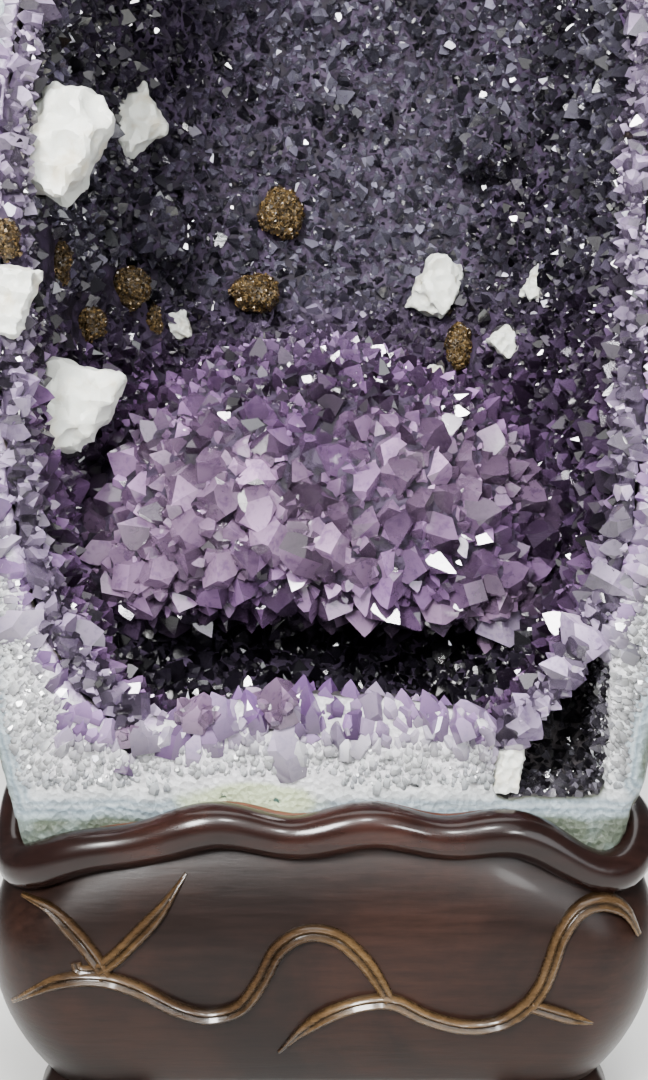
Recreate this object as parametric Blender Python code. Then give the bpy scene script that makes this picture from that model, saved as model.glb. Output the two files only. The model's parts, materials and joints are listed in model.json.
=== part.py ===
"""Amethyst geode on a carved wooden stand.

The geode is a stone crust, open at the front, with a lining of amethyst crystals, a crystal ledge
across its lower half, and white calcite blocks and brown goethite lumps grown on the lining. It
stands in a bulging wooden stand with a rolled, wavy rim and carved vine stems on the front.

Frame: metres, +Z up, -Y to the front, origin on the floor under the middle of the stand.
"""

import math
import random

import bmesh
import bpy
from mathutils import Matrix, Vector, noise

# ---------------------------------------------------------------- driving dimensions (metres)
GAP = 0.0004  # clear space between pieces that touch

# Stand
STAND_HALF_WIDTH = 0.168
STAND_HALF_DEPTH = 0.130
STAND_SQUARENESS = 8.0  # power of the rounded-rectangle plan
FOOT_HEIGHT = 0.030
BULGE_Z = 0.104  # where the stand's sides bulge out furthest
BODY_TOP = 0.158
SEAT_Z = 0.135  # floor that the geode stands on
SHELF_Z = 0.1395  # flat wood between the rim and the geode
SHELF_INSET = 0.024
RIM_RADIUS = 0.0108
RIM_INSET = 0.0105  # from the stand's fullest outline to the middle of the rim
RIM_Z = 0.1655
RIM_WAVE = 0.0030  # rise and fall of the rolled rim
RIM_WAVES = 14
RIM_CREST_X = 0.023  # one crest stands here on the front
CORNER_DIP = 0.020  # how far the rim drops at the stand's corners
VINE_RADIUS = 0.0040

# Geode crust
GEODE_HALF_WIDTH = 0.1765
GEODE_MIDDLE = Vector((0.0, -0.080, 0.380))
GEODE_TOP = 0.760
GEODE_BACK = 0.213  # reach behind the middle
TOP_LEAN = 0.030  # the top leans to the right
GEODE_DOWN = 0.330  # reach below the middle, before the base is cut flat
FRONT_Y = -0.112  # the broken front face at the base
FRONT_LEAN = math.radians(2.0)

# Hollow
HOLLOW_MIDDLE = Vector((0.0, -0.080, 0.420))
HOLLOW_HALF_WIDTH = 0.1555
HOLLOW_BACK = 0.185
HOLLOW_UP = 0.305
HOLLOW_DOWN = 0.235
LINING = 0.010  # thickness of the crystal lining under its points

# Front lip: the part of the crust left standing in front of the hollow's floor
LIP_TOP = 0.229
LIP_ARCH = 1.9  # how fast its top edge falls away to the sides, per metre
LIP_RIGHT = 0.083
LIP_THICKNESS = 0.024
NOTCH_RIGHT = 0.138
NOTCH_FLOOR = 0.178

LEDGE_REACH = 0.420  # blocks below this height can touch the ledge
DOME_Y = -0.022  # middle of the crystal dome on the ledge's front
SEED = 11


# ---------------------------------------------------------------- scene helpers
def clear_scene():
    for obj in list(bpy.data.objects):
        bpy.data.objects.remove(obj)


def new_collection(name):
    collection = bpy.data.collections.new(name)
    bpy.context.scene.collection.children.link(collection)
    return collection


def make_material(name, colour, roughness, metallic=0.0):
    material = bpy.data.materials.new(name)
    material.use_nodes = True
    shader = material.node_tree.nodes["Principled BSDF"]
    shader.inputs["Base Color"].default_value = (*colour, 1.0)
    shader.inputs["Roughness"].default_value = roughness
    shader.inputs["Metallic"].default_value = metallic
    return material


def add_object(name, bm, collection, material=None):
    bmesh.ops.recalc_face_normals(bm, faces=bm.faces)
    mesh = bpy.data.meshes.new(name)
    bm.to_mesh(mesh)
    bm.free()
    obj = bpy.data.objects.new(name, mesh)
    collection.objects.link(obj)
    if material:
        mesh.materials.append(material)
    return obj


def as_cutter(obj):
    obj.hide_render = True
    obj.display_type = "WIRE"
    return obj


def cut(obj, cutter, operation="DIFFERENCE"):
    """A Boolean with one object, or with every object of a collection."""
    modifier = obj.modifiers.new(operation.lower(), "BOOLEAN")
    modifier.operation = operation
    modifier.solver = "EXACT"
    if isinstance(cutter, bpy.types.Collection):
        modifier.operand_type = "COLLECTION"
        modifier.collection = cutter
    else:
        modifier.object = cutter
    return modifier


def box(name, low, high, collection):
    size = [b - a for a, b in zip(low, high)]
    middle = [(a + b) / 2 for a, b in zip(low, high)]
    bm = bmesh.new()
    bmesh.ops.create_cube(bm, size=1.0, matrix=Matrix.Translation(middle) @ Matrix.Diagonal((*size, 1.0)))
    return add_object(name, bm, collection)


# ---------------------------------------------------------------- rounded forms
class Form:
    """A rounded block about a middle point. Its six reaches can differ, and its surface can be lumpy."""

    def __init__(self, middle, side, front, back, down, up, power, lump=0.0, lump_rate=3.0, seed=0.0, lean=0.0):
        self.middle = middle
        self.low = Vector((side, front, down))
        self.high = Vector((side, back, up))
        self.power = power
        self.lump = lump
        self.lump_rate = lump_rate
        self.seed = Vector((seed, seed, seed))
        self.lean = lean  # how far the top leans over to +X

    def lean_at(self, z):
        return self.lean * max(0.0, (z - self.middle.z) / self.high.z) ** 2

    def point(self, direction, grow=0.0):
        """The surface point in this direction from the middle, moved outwards by grow."""
        unit = direction.normalized()
        squareness = sum(abs(c) ** self.power for c in unit) ** (-1.0 / self.power)
        reach = Vector([c * squareness * (h if c > 0 else l) for c, l, h in zip(unit, self.low, self.high)])
        lump = self.lump * noise.noise(unit * self.lump_rate + self.seed)
        place = self.middle + reach + reach.normalized() * (lump + grow)
        return place + Vector((self.lean_at(place.z), 0.0, 0.0))

    def surface_y(self, x, z, towards=1.0):
        """The Y of the smooth surface at x and z, behind the middle or, with towards -1, before it."""
        dx, dz = x - self.lean_at(z) - self.middle.x, z - self.middle.z
        across = abs(dx / (self.high.x if dx > 0 else self.low.x)) ** self.power
        upward = abs(dz / (self.high.z if dz > 0 else self.low.z)) ** self.power
        left = max(0.0, 1.0 - across - upward)
        depth = self.high.y if towards > 0 else self.low.y
        return self.middle.y + towards * depth * left ** (1.0 / self.power)

    def outward(self, point):
        """The unit normal of the smooth surface at a point on it."""
        away = point - self.middle - Vector((self.lean_at(point.z), 0.0, 0.0))
        reach = [h if c > 0 else l for c, l, h in zip(away, self.low, self.high)]
        slope = [math.copysign(abs(c / r) ** (self.power - 1) / r, c) for c, r in zip(away, reach)]
        return Vector(slope).normalized()


CRUST = Form(
    GEODE_MIDDLE, GEODE_HALF_WIDTH - 0.002, 0.100, GEODE_BACK, GEODE_DOWN,
    GEODE_TOP - GEODE_MIDDLE.z - 0.002, 2.8, lump=0.006, lump_rate=2.6, seed=4.0, lean=TOP_LEAN,
)
HOLLOW = Form(
    HOLLOW_MIDDLE, HOLLOW_HALF_WIDTH, 0.120, HOLLOW_BACK, HOLLOW_DOWN, HOLLOW_UP, 3.0,
    lump=0.005, lump_rate=3.2, seed=9.0, lean=TOP_LEAN,
)
WALL = Form(
    HOLLOW_MIDDLE, HOLLOW_HALF_WIDTH - LINING, 0.160, HOLLOW_BACK - LINING, HOLLOW_DOWN - LINING,
    HOLLOW_UP - LINING, 3.0, lump=0.005, lump_rate=3.2, seed=9.0, lean=TOP_LEAN,
)
LEDGE = Form(Vector((-0.008, 0.035, 0.302)), 0.150, 0.084, 0.085, 0.052, 0.105, 2.4, lump=0.010, lump_rate=3.5, seed=2.0)


def smooth_ball(name, form, collection, grow=0.0, around=32, along=18):
    """The form as a sphere whose poles face front and back."""
    bm = bmesh.new()
    bmesh.ops.create_uvsphere(
        bm, u_segments=around, v_segments=along, radius=1.0, matrix=Matrix.Rotation(math.pi / 2, 4, "X")
    )
    bmesh.ops.triangulate(bm, faces=bm.faces[:], quad_method="FIXED")
    for vertex in bm.verts:
        vertex.co = form.point(vertex.co, grow)
    return add_object(name, bm, collection)


def crystal_ball(name, form, collection, detail, tip, grow=0.0, bend=None, material=None):
    """The form covered in three-sided crystal points, each tip metres tall (inwards if negative)."""
    chance = random.Random(SEED)
    bm = bmesh.new()
    bmesh.ops.create_icosphere(bm, subdivisions=detail, radius=1.0)
    for vertex in bm.verts:
        vertex.co = form.point(vertex.co, grow)
    poked = bmesh.ops.poke(bm, faces=bm.faces[:])["verts"]
    for vertex in poked:
        away = (vertex.co - form.middle).normalized()
        vertex.co += away * tip * chance.uniform(0.45, 1.0)
    if bend:
        for vertex in bm.verts:
            vertex.co = bend(vertex.co)
    return add_object(name, bm, collection, material)


# ---------------------------------------------------------------- stand
def squared(angle, half_width, half_depth, power=STAND_SQUARENESS):
    """A point of the rounded-rectangle plan at this angle."""
    c, s = math.cos(angle), math.sin(angle)
    reach = (abs(c / half_width) ** power + abs(s / half_depth) ** power) ** (-1.0 / power)
    return Vector((c * reach, s * reach))


def corner_share(angle):
    """1 at the stand's four corners, falling smoothly to 0 along its sides."""
    corner = math.atan2(STAND_HALF_DEPTH, STAND_HALF_WIDTH)
    folded = abs(math.atan2(abs(math.sin(angle)), abs(math.cos(angle))) - corner)
    return math.exp(-((folded / 0.20) ** 2))


def side_inset(z):
    """How far the stand's side lies inside its fullest outline at height z."""
    return 0.011 * ((z - BULGE_Z) / 0.050) ** 2


def squared_block(name, levels, collection, grow=0.0, around=48):
    """A solid of rounded-rectangle sections: each level's inset, height and drop at its corners."""
    bm = bmesh.new()
    bmesh.ops.create_cone(
        bm, cap_ends=True, segments=around, radius1=1.0, radius2=1.0, depth=1.0,
        matrix=Matrix.Rotation(math.pi / around, 4, "Z"),
    )
    top = max(bm.faces, key=lambda face: face.calc_center_median().z)
    rings = [sorted((v for v in bm.verts if v.co.z < 0), key=lambda v: math.atan2(v.co.y, v.co.x))]
    for _ in levels[2:]:
        rings.append(sorted(top.verts, key=lambda v: math.atan2(v.co.y, v.co.x)))
        made = bmesh.ops.extrude_face_region(bm, geom=[top])["geom"]
        bmesh.ops.delete(bm, geom=[top], context="FACES_ONLY")
        top = next(g for g in made if isinstance(g, bmesh.types.BMFace))
    rings.append(sorted(top.verts, key=lambda v: math.atan2(v.co.y, v.co.x)))
    for ring, (inset, z, drop) in zip(rings, levels):
        for vertex in ring:
            angle = math.atan2(vertex.co.y, vertex.co.x)
            plan = squared(angle, STAND_HALF_WIDTH - inset + grow, STAND_HALF_DEPTH - inset + grow)
            vertex.co = (plan.x, plan.y, z - drop * corner_share(angle))
    return add_object(name, bm, collection)


def body_levels(grow=0.0):
    """The bulging side, with corners that drop towards its top, then the flat shelf inside the rim."""
    bottom, steps = FOOT_HEIGHT + GAP, 8
    heights = [bottom + i * (BODY_TOP - bottom) / steps for i in range(steps + 1)]
    side = [(side_inset(z), z, CORNER_DIP * max(0.0, (z - BULGE_Z) / (BODY_TOP - BULGE_Z))) for z in heights]
    return side + [(SHELF_INSET, SHELF_Z + grow, 0.0)]


def rim_height(angle, run, total):
    """The rim's height, where run is how far along it from the middle of the front, of its total."""
    wave = RIM_WAVE * math.cos(2 * math.pi * RIM_WAVES * (run - RIM_CREST_X) / total)
    return RIM_Z + wave - CORNER_DIP * corner_share(angle)


def rolled_rim(collection, points=96):
    """The rim as a closed round moulding along the stand's outline."""
    plan = [
        squared(-math.pi / 2 + 2 * math.pi * i / points, STAND_HALF_WIDTH - RIM_INSET, STAND_HALF_DEPTH - RIM_INSET)
        for i in range(points)
    ]
    curve = bpy.data.curves.new("rolled_rim", "CURVE")
    curve.dimensions = "3D"
    curve.bevel_depth = RIM_RADIUS
    curve.bevel_resolution = 1
    spline = curve.splines.new("POLY")
    spline.points.add(points - 1)
    spline.use_cyclic_u = True
    lengths = [(b - a).length for a, b in zip(plan, plan[1:] + plan[:1])]
    for i, place in enumerate(plan):
        z = rim_height(math.atan2(place.y, place.x), sum(lengths[:i]), sum(lengths))
        spline.points[i].co = (place.x, place.y, z, 1.0)
    return curve_to_mesh(curve, collection)


def curve_to_mesh(curve, collection):
    """Turns a bevelled curve into a welded mesh object."""
    holder = bpy.data.objects.new(curve.name + "_curve", curve)
    collection.objects.link(holder)
    bpy.context.view_layer.update()
    mesh = bpy.data.meshes.new_from_object(holder.evaluated_get(bpy.context.evaluated_depsgraph_get()))
    bm = bmesh.new()
    bm.from_mesh(mesh)
    bmesh.ops.remove_doubles(bm, verts=bm.verts, dist=1e-5)
    bpy.data.objects.remove(holder)
    bpy.data.meshes.remove(mesh)
    return add_object(curve.name, bm, collection)


def front_of_body(x, z, stand_off):
    """A point off the stand's bulging front, at x and z."""
    inset = side_inset(z)
    half_width, half_depth = STAND_HALF_WIDTH - inset, STAND_HALF_DEPTH - inset
    share = min(1.0, abs(x) / half_width) ** STAND_SQUARENESS
    return Vector((x, -half_depth * (1.0 - share) ** (1.0 / STAND_SQUARENESS) - stand_off, z))


def smooth_path(points, step=0.007):
    """Points read at even steps from a smooth curve through the given ones (Catmull-Rom)."""
    knots = [points[0], *points, points[-1]]
    path = []
    for a, b, c, d in zip(knots, knots[1:], knots[2:], knots[3:]):
        count = max(1, round(math.dist(b, c) / step))
        for i in range(count):
            t = i / count
            path.append(tuple(
                0.5 * (2 * q + (r - p) * t + (2 * p - 5 * q + 4 * r - s) * t**2 + (3 * q - p - 3 * r + s) * t**3)
                for p, q, r, s in zip(a, b, c, d)
            ))
    return path + [tuple(points[-1])]


def vine(name, route, collection, material, body, thin_start=True, thin_end=True):
    """A carved stem on the front: a tapering round stem, cut by the stand's own surface."""
    path = smooth_path(route)
    curve = bpy.data.curves.new(name, "CURVE")
    curve.dimensions = "3D"
    curve.bevel_depth = VINE_RADIUS
    curve.bevel_resolution = 2
    curve.use_fill_caps = True
    spline = curve.splines.new("POLY")
    spline.points.add(len(path) - 1)
    for i, (x, z) in enumerate(path):
        from_start, from_end = i / (len(path) - 1), 1 - i / (len(path) - 1)
        taper = min(1.0, 0.30 + 3.0 * from_start if thin_start else 1.0, 0.30 + 3.0 * from_end if thin_end else 1.0)
        spline.points[i].co = (*front_of_body(x, z, 0.3 * VINE_RADIUS), 1.0)
        spline.points[i].radius = taper
    stem = curve_to_mesh(curve, collection)
    stem.name = name
    stem.data.materials.append(material)
    cut(stem, body)
    return stem


# The stems' routes, as x and z on the stand's front
VINES = {
    "vine_left_run": [(-0.152, 0.080), (-0.130, 0.094), (-0.108, 0.097), (-0.090, 0.092), (-0.070, 0.081),
                      (-0.055, 0.077), (-0.040, 0.082), (-0.030, 0.096), (-0.022, 0.111), (-0.009, 0.119),
                      (0.006, 0.117), (0.019, 0.106), (0.0285, 0.0915)],
    "vine_tip_left": [(-0.146, 0.134), (-0.131, 0.129), (-0.118, 0.118), (-0.109, 0.1055)],
    "vine_tip_right": [(-0.066, 0.146), (-0.078, 0.129), (-0.091, 0.1155), (-0.1025, 0.1085)],
    "vine_middle_run": [(-0.022, 0.055), (-0.010, 0.069), (0.004, 0.079), (0.020, 0.0845), (0.034, 0.0845),
                        (0.050, 0.076), (0.068, 0.071), (0.084, 0.073), (0.0965, 0.082)],
    "vine_right_run": [(0.1025, 0.0885), (0.108, 0.102), (0.113, 0.118), (0.122, 0.129), (0.134, 0.132),
                       (0.145, 0.127), (0.152, 0.115)],
    "vine_spike": [(0.1045, 0.0805), (0.118, 0.076), (0.136, 0.070)],
}


def build_stand(parts, cutters, wood, vine_wood, seat_cutter):
    body = squared_block("stand_body", body_levels(), parts)
    body.data.materials.append(wood)
    for face in body.data.polygons:
        face.use_smooth = True
    cut(body, as_cutter(rolled_rim(cutters)), "UNION")
    cut(body, seat_cutter)
    skin = as_cutter(squared_block("body_skin", body_levels(GAP), cutters, grow=GAP))
    for name, route in VINES.items():
        joined_end = name in ("vine_left_run", "vine_middle_run")
        vine(name, route, parts, vine_wood, skin, thin_end=not joined_end)
    plinth_levels = [(0.020, 0.0, 0.0), (0.016, 0.008, 0.0), (0.019, 0.020, 0.0), (0.024, FOOT_HEIGHT, 0.0)]
    for side, sx in (("left", -1), ("right", 1)):
        for face, sy in (("front", -1), ("back", 1)):
            foot = squared_block(f"stand_foot_{face}_{side}", plinth_levels, parts, around=40)
            foot.data.materials.append(wood)
            low = (min(sx * 0.090, sx * 0.20), min(sy * 0.068, sy * 0.20), -0.01)
            high = (max(sx * 0.090, sx * 0.20), max(sy * 0.068, sy * 0.20), 0.05)
            cut(foot, as_cutter(box(f"corner_{face}_{side}", low, high, cutters)), "INTERSECT")


# ---------------------------------------------------------------- geode crust
def front_cutter(name, collection, back_off=0.0):
    """Everything before the leaning front face, moved back by back_off."""
    cutter = box(name, (-0.3, -0.30, -0.70), (0.3, 0.0, 0.70), collection)
    cutter.location = (0.0, FRONT_Y + back_off, SEAT_Z)
    cutter.rotation_euler = (-FRONT_LEAN, 0.0, 0.0)
    return as_cutter(cutter)


def lip_block(name, collection, grow=0.0):
    """The stretch of crust left standing in front of the hollow: a slab with an arched top edge."""
    steps = 16
    left, right = -0.19, LIP_RIGHT + 0.003 + grow
    bm = bmesh.new()
    bmesh.ops.create_grid(bm, x_segments=steps, y_segments=1, size=0.5)
    for vertex in bm.verts:
        x = left + (vertex.co.x + 0.5) * (right - left)
        top = LIP_TOP - LIP_ARCH * x * x + 0.003 * math.sin(x * 190.0) + grow
        vertex.co = (x, -0.20, 0.10 if vertex.co.y < 0 else top)
    made = bmesh.ops.extrude_face_region(bm, geom=bm.faces[:])["geom"]
    depth = FRONT_Y + LIP_THICKNESS + grow + 0.20
    bmesh.ops.translate(bm, verts=[g for g in made if isinstance(g, bmesh.types.BMVert)], vec=(0, depth, 0))
    return add_object(name, bm, collection)


def build_crust(parts, cutters, sockets, stone):
    floor = as_cutter(box("below_seat", (-0.3, -0.3, -0.1), (0.3, 0.3, SEAT_Z + GAP), cutters))
    below = as_cutter(box("below_cutter", (-0.3, -0.3, -0.1), (0.3, 0.3, SEAT_Z), cutters))
    front = front_cutter("before_front", cutters)
    hollow = as_cutter(smooth_ball("hollow_space", HOLLOW, cutters))
    cut(hollow, as_cutter(lip_block("front_lip", cutters)))
    notch = as_cutter(box("notch", (LIP_RIGHT, -0.16, NOTCH_FLOOR), (NOTCH_RIGHT, -0.055, 0.25), cutters))
    crust = smooth_ball("geode_crust", CRUST, parts, around=38, along=20)
    crust.data.materials.append(stone)
    for cutter in (sockets, front, floor, hollow, notch):
        cut(crust, cutter)
    seat = as_cutter(smooth_ball("seat_cutter", CRUST, cutters, grow=GAP, around=38, along=20))
    cut(seat, front_cutter("before_seat", cutters, back_off=-GAP))
    cut(seat, below)
    return seat


# ---------------------------------------------------------------- crystals and lumps
def build_lining(parts, cutters, sockets, amethyst):
    """The amethyst lining: what lies between the crust's hollow and the open, crystal-pointed space."""
    lining = smooth_ball("amethyst_lining", HOLLOW, parts, grow=-GAP)
    lining.data.materials.append(amethyst)
    cut(lining, as_cutter(crystal_ball("open_space", WALL, cutters, 4, -0.007)))
    cut(lining, as_cutter(lip_block("lip_room", cutters, grow=GAP)))
    cut(lining, sockets)
    cut(lining, front_cutter("before_lining", cutters, back_off=GAP))
    return lining


def ledge_bend(point):
    """The ledge's lower edge is an arch, so its ends hang lower than its middle."""
    across = point.x + 0.030
    point.z -= (4.0 if across < 0 else 1.1) * across * across
    return point


def build_ledge(parts, cutters, wall_sockets, ledge_sockets, amethyst):
    room = as_cutter(smooth_ball("ledge_room", HOLLOW, cutters, grow=-GAP))
    ledge = crystal_ball("amethyst_ledge", LEDGE, parts, 3, 0.010, bend=ledge_bend, material=amethyst)
    cut(ledge, room, "INTERSECT")
    cut(ledge, ledge_sockets)
    socket = crystal_ball("ledge_socket", LEDGE, wall_sockets, 3, 0.010, grow=2 * GAP, bend=ledge_bend)
    as_cutter(socket)


# Rounded clusters of crystals: x, z, half width and height, and how deep they are
CLUSTERS = {
    "amethyst_dome": (0.040, 0.330, 0.030, 0.037, 0.028),
    "amethyst_rosette_left": (-0.104, 0.477, 0.018, 0.018, 0.016),
    "amethyst_rosette_right": (0.104, 0.530, 0.018, 0.018, 0.016),
}


def build_clusters(parts, cutters, wall_sockets, ledge_sockets, amethyst):
    room = as_cutter(smooth_ball("cluster_room", HOLLOW, cutters, grow=-GAP))
    for name, (x, z, half_width, half_height, depth) in CLUSTERS.items():
        on_ledge = name == "amethyst_dome"
        middle = Vector((x, DOME_Y, z)) if on_ledge else on_wall(x, z, 0.5 * depth)
        form = Form(middle, half_width, depth, depth, half_height, half_height, 2.2, lump=0.004)
        cluster = crystal_ball(name, form, parts, 2, 0.005, material=amethyst)
        socket = as_cutter(crystal_ball(name + "_socket", form, wall_sockets, 2, 0.005, grow=2 * GAP))
        if on_ledge:
            ledge_sockets.objects.link(socket)
        else:
            cut(cluster, room, "INTERSECT")


def crystal_point(name, place, aim, radius, length, collection, grow=0.0):
    """A six-sided crystal: a prism with a six-sided point, aimed along aim."""
    bm = bmesh.new()
    point_height = radius * 1.15
    bmesh.ops.create_cone(
        bm, cap_ends=True, segments=6, radius1=radius + grow, radius2=0.0, depth=point_height + grow,
        matrix=Matrix.Translation((0, 0, length - (point_height - grow) / 2)),
    )
    base = min(bm.faces, key=lambda face: face.calc_center_median().z)
    made = bmesh.ops.extrude_face_region(bm, geom=[base])["geom"]
    bmesh.ops.delete(bm, geom=[base], context="FACES_ONLY")
    for vertex in (g for g in made if isinstance(g, bmesh.types.BMVert)):
        vertex.co.z = -grow
    bmesh.ops.transform(bm, verts=bm.verts, matrix=aim.to_track_quat("Z", "Y").to_matrix().to_4x4())
    bmesh.ops.translate(bm, verts=bm.verts, vec=place)
    return add_object(name, bm, collection)


# Large crystals on the ledge: place on its front as x and z, radius and length
LEDGE_POINTS = [
    (0.098, 0.252, 0.0145, 0.046),
    (0.062, 0.262, 0.0105, 0.034),
    (-0.072, 0.305, 0.0125, 0.036),
    (-0.088, 0.282, 0.0110, 0.034),
    (-0.028, 0.300, 0.0140, 0.038),
    (-0.055, 0.283, 0.0115, 0.034),
    (0.004, 0.296, 0.0120, 0.034),
]
# Large crystals standing on the front lip: x, radius and length
LIP_POINTS = [(-0.062, 0.0100, 0.026), (-0.020, 0.0115, 0.028), (-0.094, 0.0080, 0.022)]


def build_points(parts, ledge_sockets, crust_sockets, wall_sockets, amethyst):
    for i, (x, z, radius, length) in enumerate(LEDGE_POINTS, start=1):
        unbent = z - ledge_bend(Vector((x, 0.0, 0.0))).z
        flat = Vector((x, LEDGE.surface_y(x, unbent, towards=-1.0), unbent))
        aim = LEDGE.outward(flat)
        aim = Vector((aim.x, aim.y - 0.6, min(aim.z, 0.3) - 0.15)).normalized()
        place = ledge_bend(flat) - aim * (length * 0.55)
        crystal = crystal_point(f"amethyst_point_{i}", place, aim, radius, length, parts)
        crystal.data.materials.append(amethyst)
        socket = as_cutter(crystal_point(f"point_socket_{i}", place, aim, radius, length, ledge_sockets, grow=GAP))
        wall_sockets.objects.link(socket)
    for i, (x, radius, length) in enumerate(LIP_POINTS, start=1):
        top = LIP_TOP - LIP_ARCH * x * x
        place = Vector((x, FRONT_Y + 0.5 * LIP_THICKNESS, top - length * 0.62))
        aim = Vector((0.15 * math.sin(90 * x), -0.18, 1.0)).normalized()
        crystal = crystal_point(f"lip_point_{i}", place, aim, radius, length, parts)
        crystal.data.materials.append(amethyst)
        socket = as_cutter(crystal_point(f"lip_socket_{i}", place, aim, radius, length, crust_sockets, grow=GAP))
        wall_sockets.objects.link(socket)


def calcite_block(name, place, width, height, depth, turn, collection, grow=0.0):
    """A cleaved block: a leaning box with four corners broken off."""
    chance = random.Random(round(place.x * 1e4) * 31 + round(place.z * 1e4))
    bm = bmesh.new()
    bmesh.ops.create_cube(bm, size=1.0)
    lean = Matrix(((1.0, 0.0, 0.27, 0.0), (0.1, 1.0, 0.12, 0.0), (0.0, 0.0, 1.0, 0.0), (0.0, 0.0, 0.0, 1.0)))
    bmesh.ops.transform(bm, verts=bm.verts, matrix=lean)
    for _ in range(4):
        corner = Vector([chance.choice((-1, 1)) * chance.uniform(0.6, 1.0) for _ in range(3)])
        around = bm.verts[:] + bm.edges[:] + bm.faces[:]
        bmesh.ops.bisect_plane(
            bm, geom=around, plane_co=corner * chance.uniform(0.36, 0.44), plane_no=corner, clear_outer=True
        )
        bmesh.ops.holes_fill(bm, edges=[e for e in bm.edges if e.is_boundary])
    size = Matrix.Diagonal((width + 2 * grow, depth + 2 * grow, height + 2 * grow, 1.0))
    bmesh.ops.transform(bm, verts=bm.verts, matrix=Matrix.Rotation(math.radians(turn), 4, "Y") @ size)
    bmesh.ops.translate(bm, verts=bm.verts, vec=place)
    return add_object(name, bm, collection)


def goethite_lump(name, place, width, height, depth, collection, grow=0.0):
    form = Form(place, width / 2, depth / 2, depth / 2, height / 2, height / 2, 2.3, lump=0.12 * width,
                lump_rate=2.2, seed=place.x * 100)
    bm = bmesh.new()
    bmesh.ops.create_icosphere(bm, subdivisions=2, radius=1.0)
    for vertex in bm.verts:
        vertex.co = form.point(vertex.co, grow)
    return add_object(name, bm, collection)


# Blocks on the back wall: x, z, width, height, turn in degrees, how far the middle stands out of the
# wall. For the blocks on the left side wall the last number is the middle's own Y instead.
BACK, SIDE = "back", "side"
CALCITES = [
    (SIDE, -0.134, 0.501, 0.042, 0.052, 20, -0.070),
    (BACK, -0.113, 0.538, 0.026, 0.028, -35, 0.004),
    (SIDE, -0.133, 0.368, 0.038, 0.044, 12, -0.045),
    (BACK, 0.072, 0.446, 0.024, 0.034, 18, 0.006),
    (BACK, 0.114, 0.411, 0.017, 0.017, 40, 0.003),
    (BACK, 0.128, 0.443, 0.011, 0.020, 20, 0.003),
    (BACK, -0.091, 0.4215, 0.012, 0.017, -25, 0.003),
    (BACK, 0.070, 0.392, 0.010, 0.011, 10, 0.003),
]
GOETHITES = [
    (BACK, -0.027, 0.492, 0.027, 0.030, 0.006),
    (BACK, -0.044, 0.443, 0.030, 0.023, 0.006),
    (BACK, 0.003, 0.400, 0.026, 0.019, 0.005),
    (BACK, -0.119, 0.442, 0.023, 0.024, 0.004),
    (BACK, -0.106, 0.4235, 0.010, 0.020, 0.003),
    (SIDE, -0.134, 0.418, 0.017, 0.020, 0.019),
    (SIDE, -0.142, 0.447, 0.013, 0.024, -0.025),
    (BACK, 0.086, 0.409, 0.017, 0.028, 0.004),
    (BACK, -0.054, 0.401, 0.010, 0.010, 0.002),
    (BACK, 0.103, 0.351, 0.014, 0.013, 0.003),
]


def on_wall(x, z, stand_out):
    """A point that stands out of the lining's wall at x and z."""
    surface = Vector((x, WALL.surface_y(x, z), z))
    return surface - WALL.outward(surface) * stand_out


def seat_of(wall, x, z, last):
    return on_wall(x, z, last) if wall == BACK else Vector((x, last, z))


def build_minerals(parts, wall_sockets, ledge_sockets, crust_sockets, calcite, goethite):
    for i, (wall, x, z, width, height, turn, last) in enumerate(CALCITES, start=1):
        place = seat_of(wall, x, z, last)
        depth = 0.75 * width
        block = calcite_block(f"calcite_block_{i}", place, width, height, depth, turn, parts)
        block.data.materials.append(calcite)
        socket = calcite_block(f"calcite_socket_{i}", place, width, height, depth, turn, wall_sockets, grow=GAP)
        if depth > 1.5 * LINING:  # the big blocks reach through the lining into the crust
            crust_sockets.objects.link(socket)
        if z < LEDGE_REACH:
            ledge_sockets.objects.link(socket)
        as_cutter(socket)
    for i, (wall, x, z, width, height, last) in enumerate(GOETHITES, start=1):
        place = seat_of(wall, x, z, last)
        depth = 0.8 * width
        lump = goethite_lump(f"goethite_lump_{i}", place, width, height, depth, parts)
        lump.data.materials.append(goethite)
        socket = goethite_lump(f"goethite_socket_{i}", place, width, height, depth, wall_sockets, grow=GAP)
        if z < LEDGE_REACH:
            ledge_sockets.objects.link(socket)
        as_cutter(socket)
    # The three pieces that sit on the crust's front face and in its notch
    for name, place, width, height, depth, turn in (
        ("calcite_block_9", Vector((-0.149, -0.104, 0.418)), 0.018, 0.031, 0.014, 8),
        ("calcite_block_10", Vector((0.0905, -0.098, 0.1905)), 0.012, 0.022, 0.014, 0),
    ):
        block = calcite_block(name, place, width, height, depth, turn, parts)
        block.data.materials.append(calcite)
        socket = calcite_block(name + "_socket", place, width, height, depth, turn, crust_sockets, grow=GAP)
        wall_sockets.objects.link(as_cutter(socket))
    place = Vector((-0.150, -0.104, 0.447))
    lump = goethite_lump("goethite_lump_11", place, 0.012, 0.019, 0.015, parts)
    lump.data.materials.append(goethite)
    socket = goethite_lump("goethite_socket_11", place, 0.012, 0.019, 0.015, crust_sockets, grow=GAP)
    wall_sockets.objects.link(as_cutter(socket))


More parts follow.
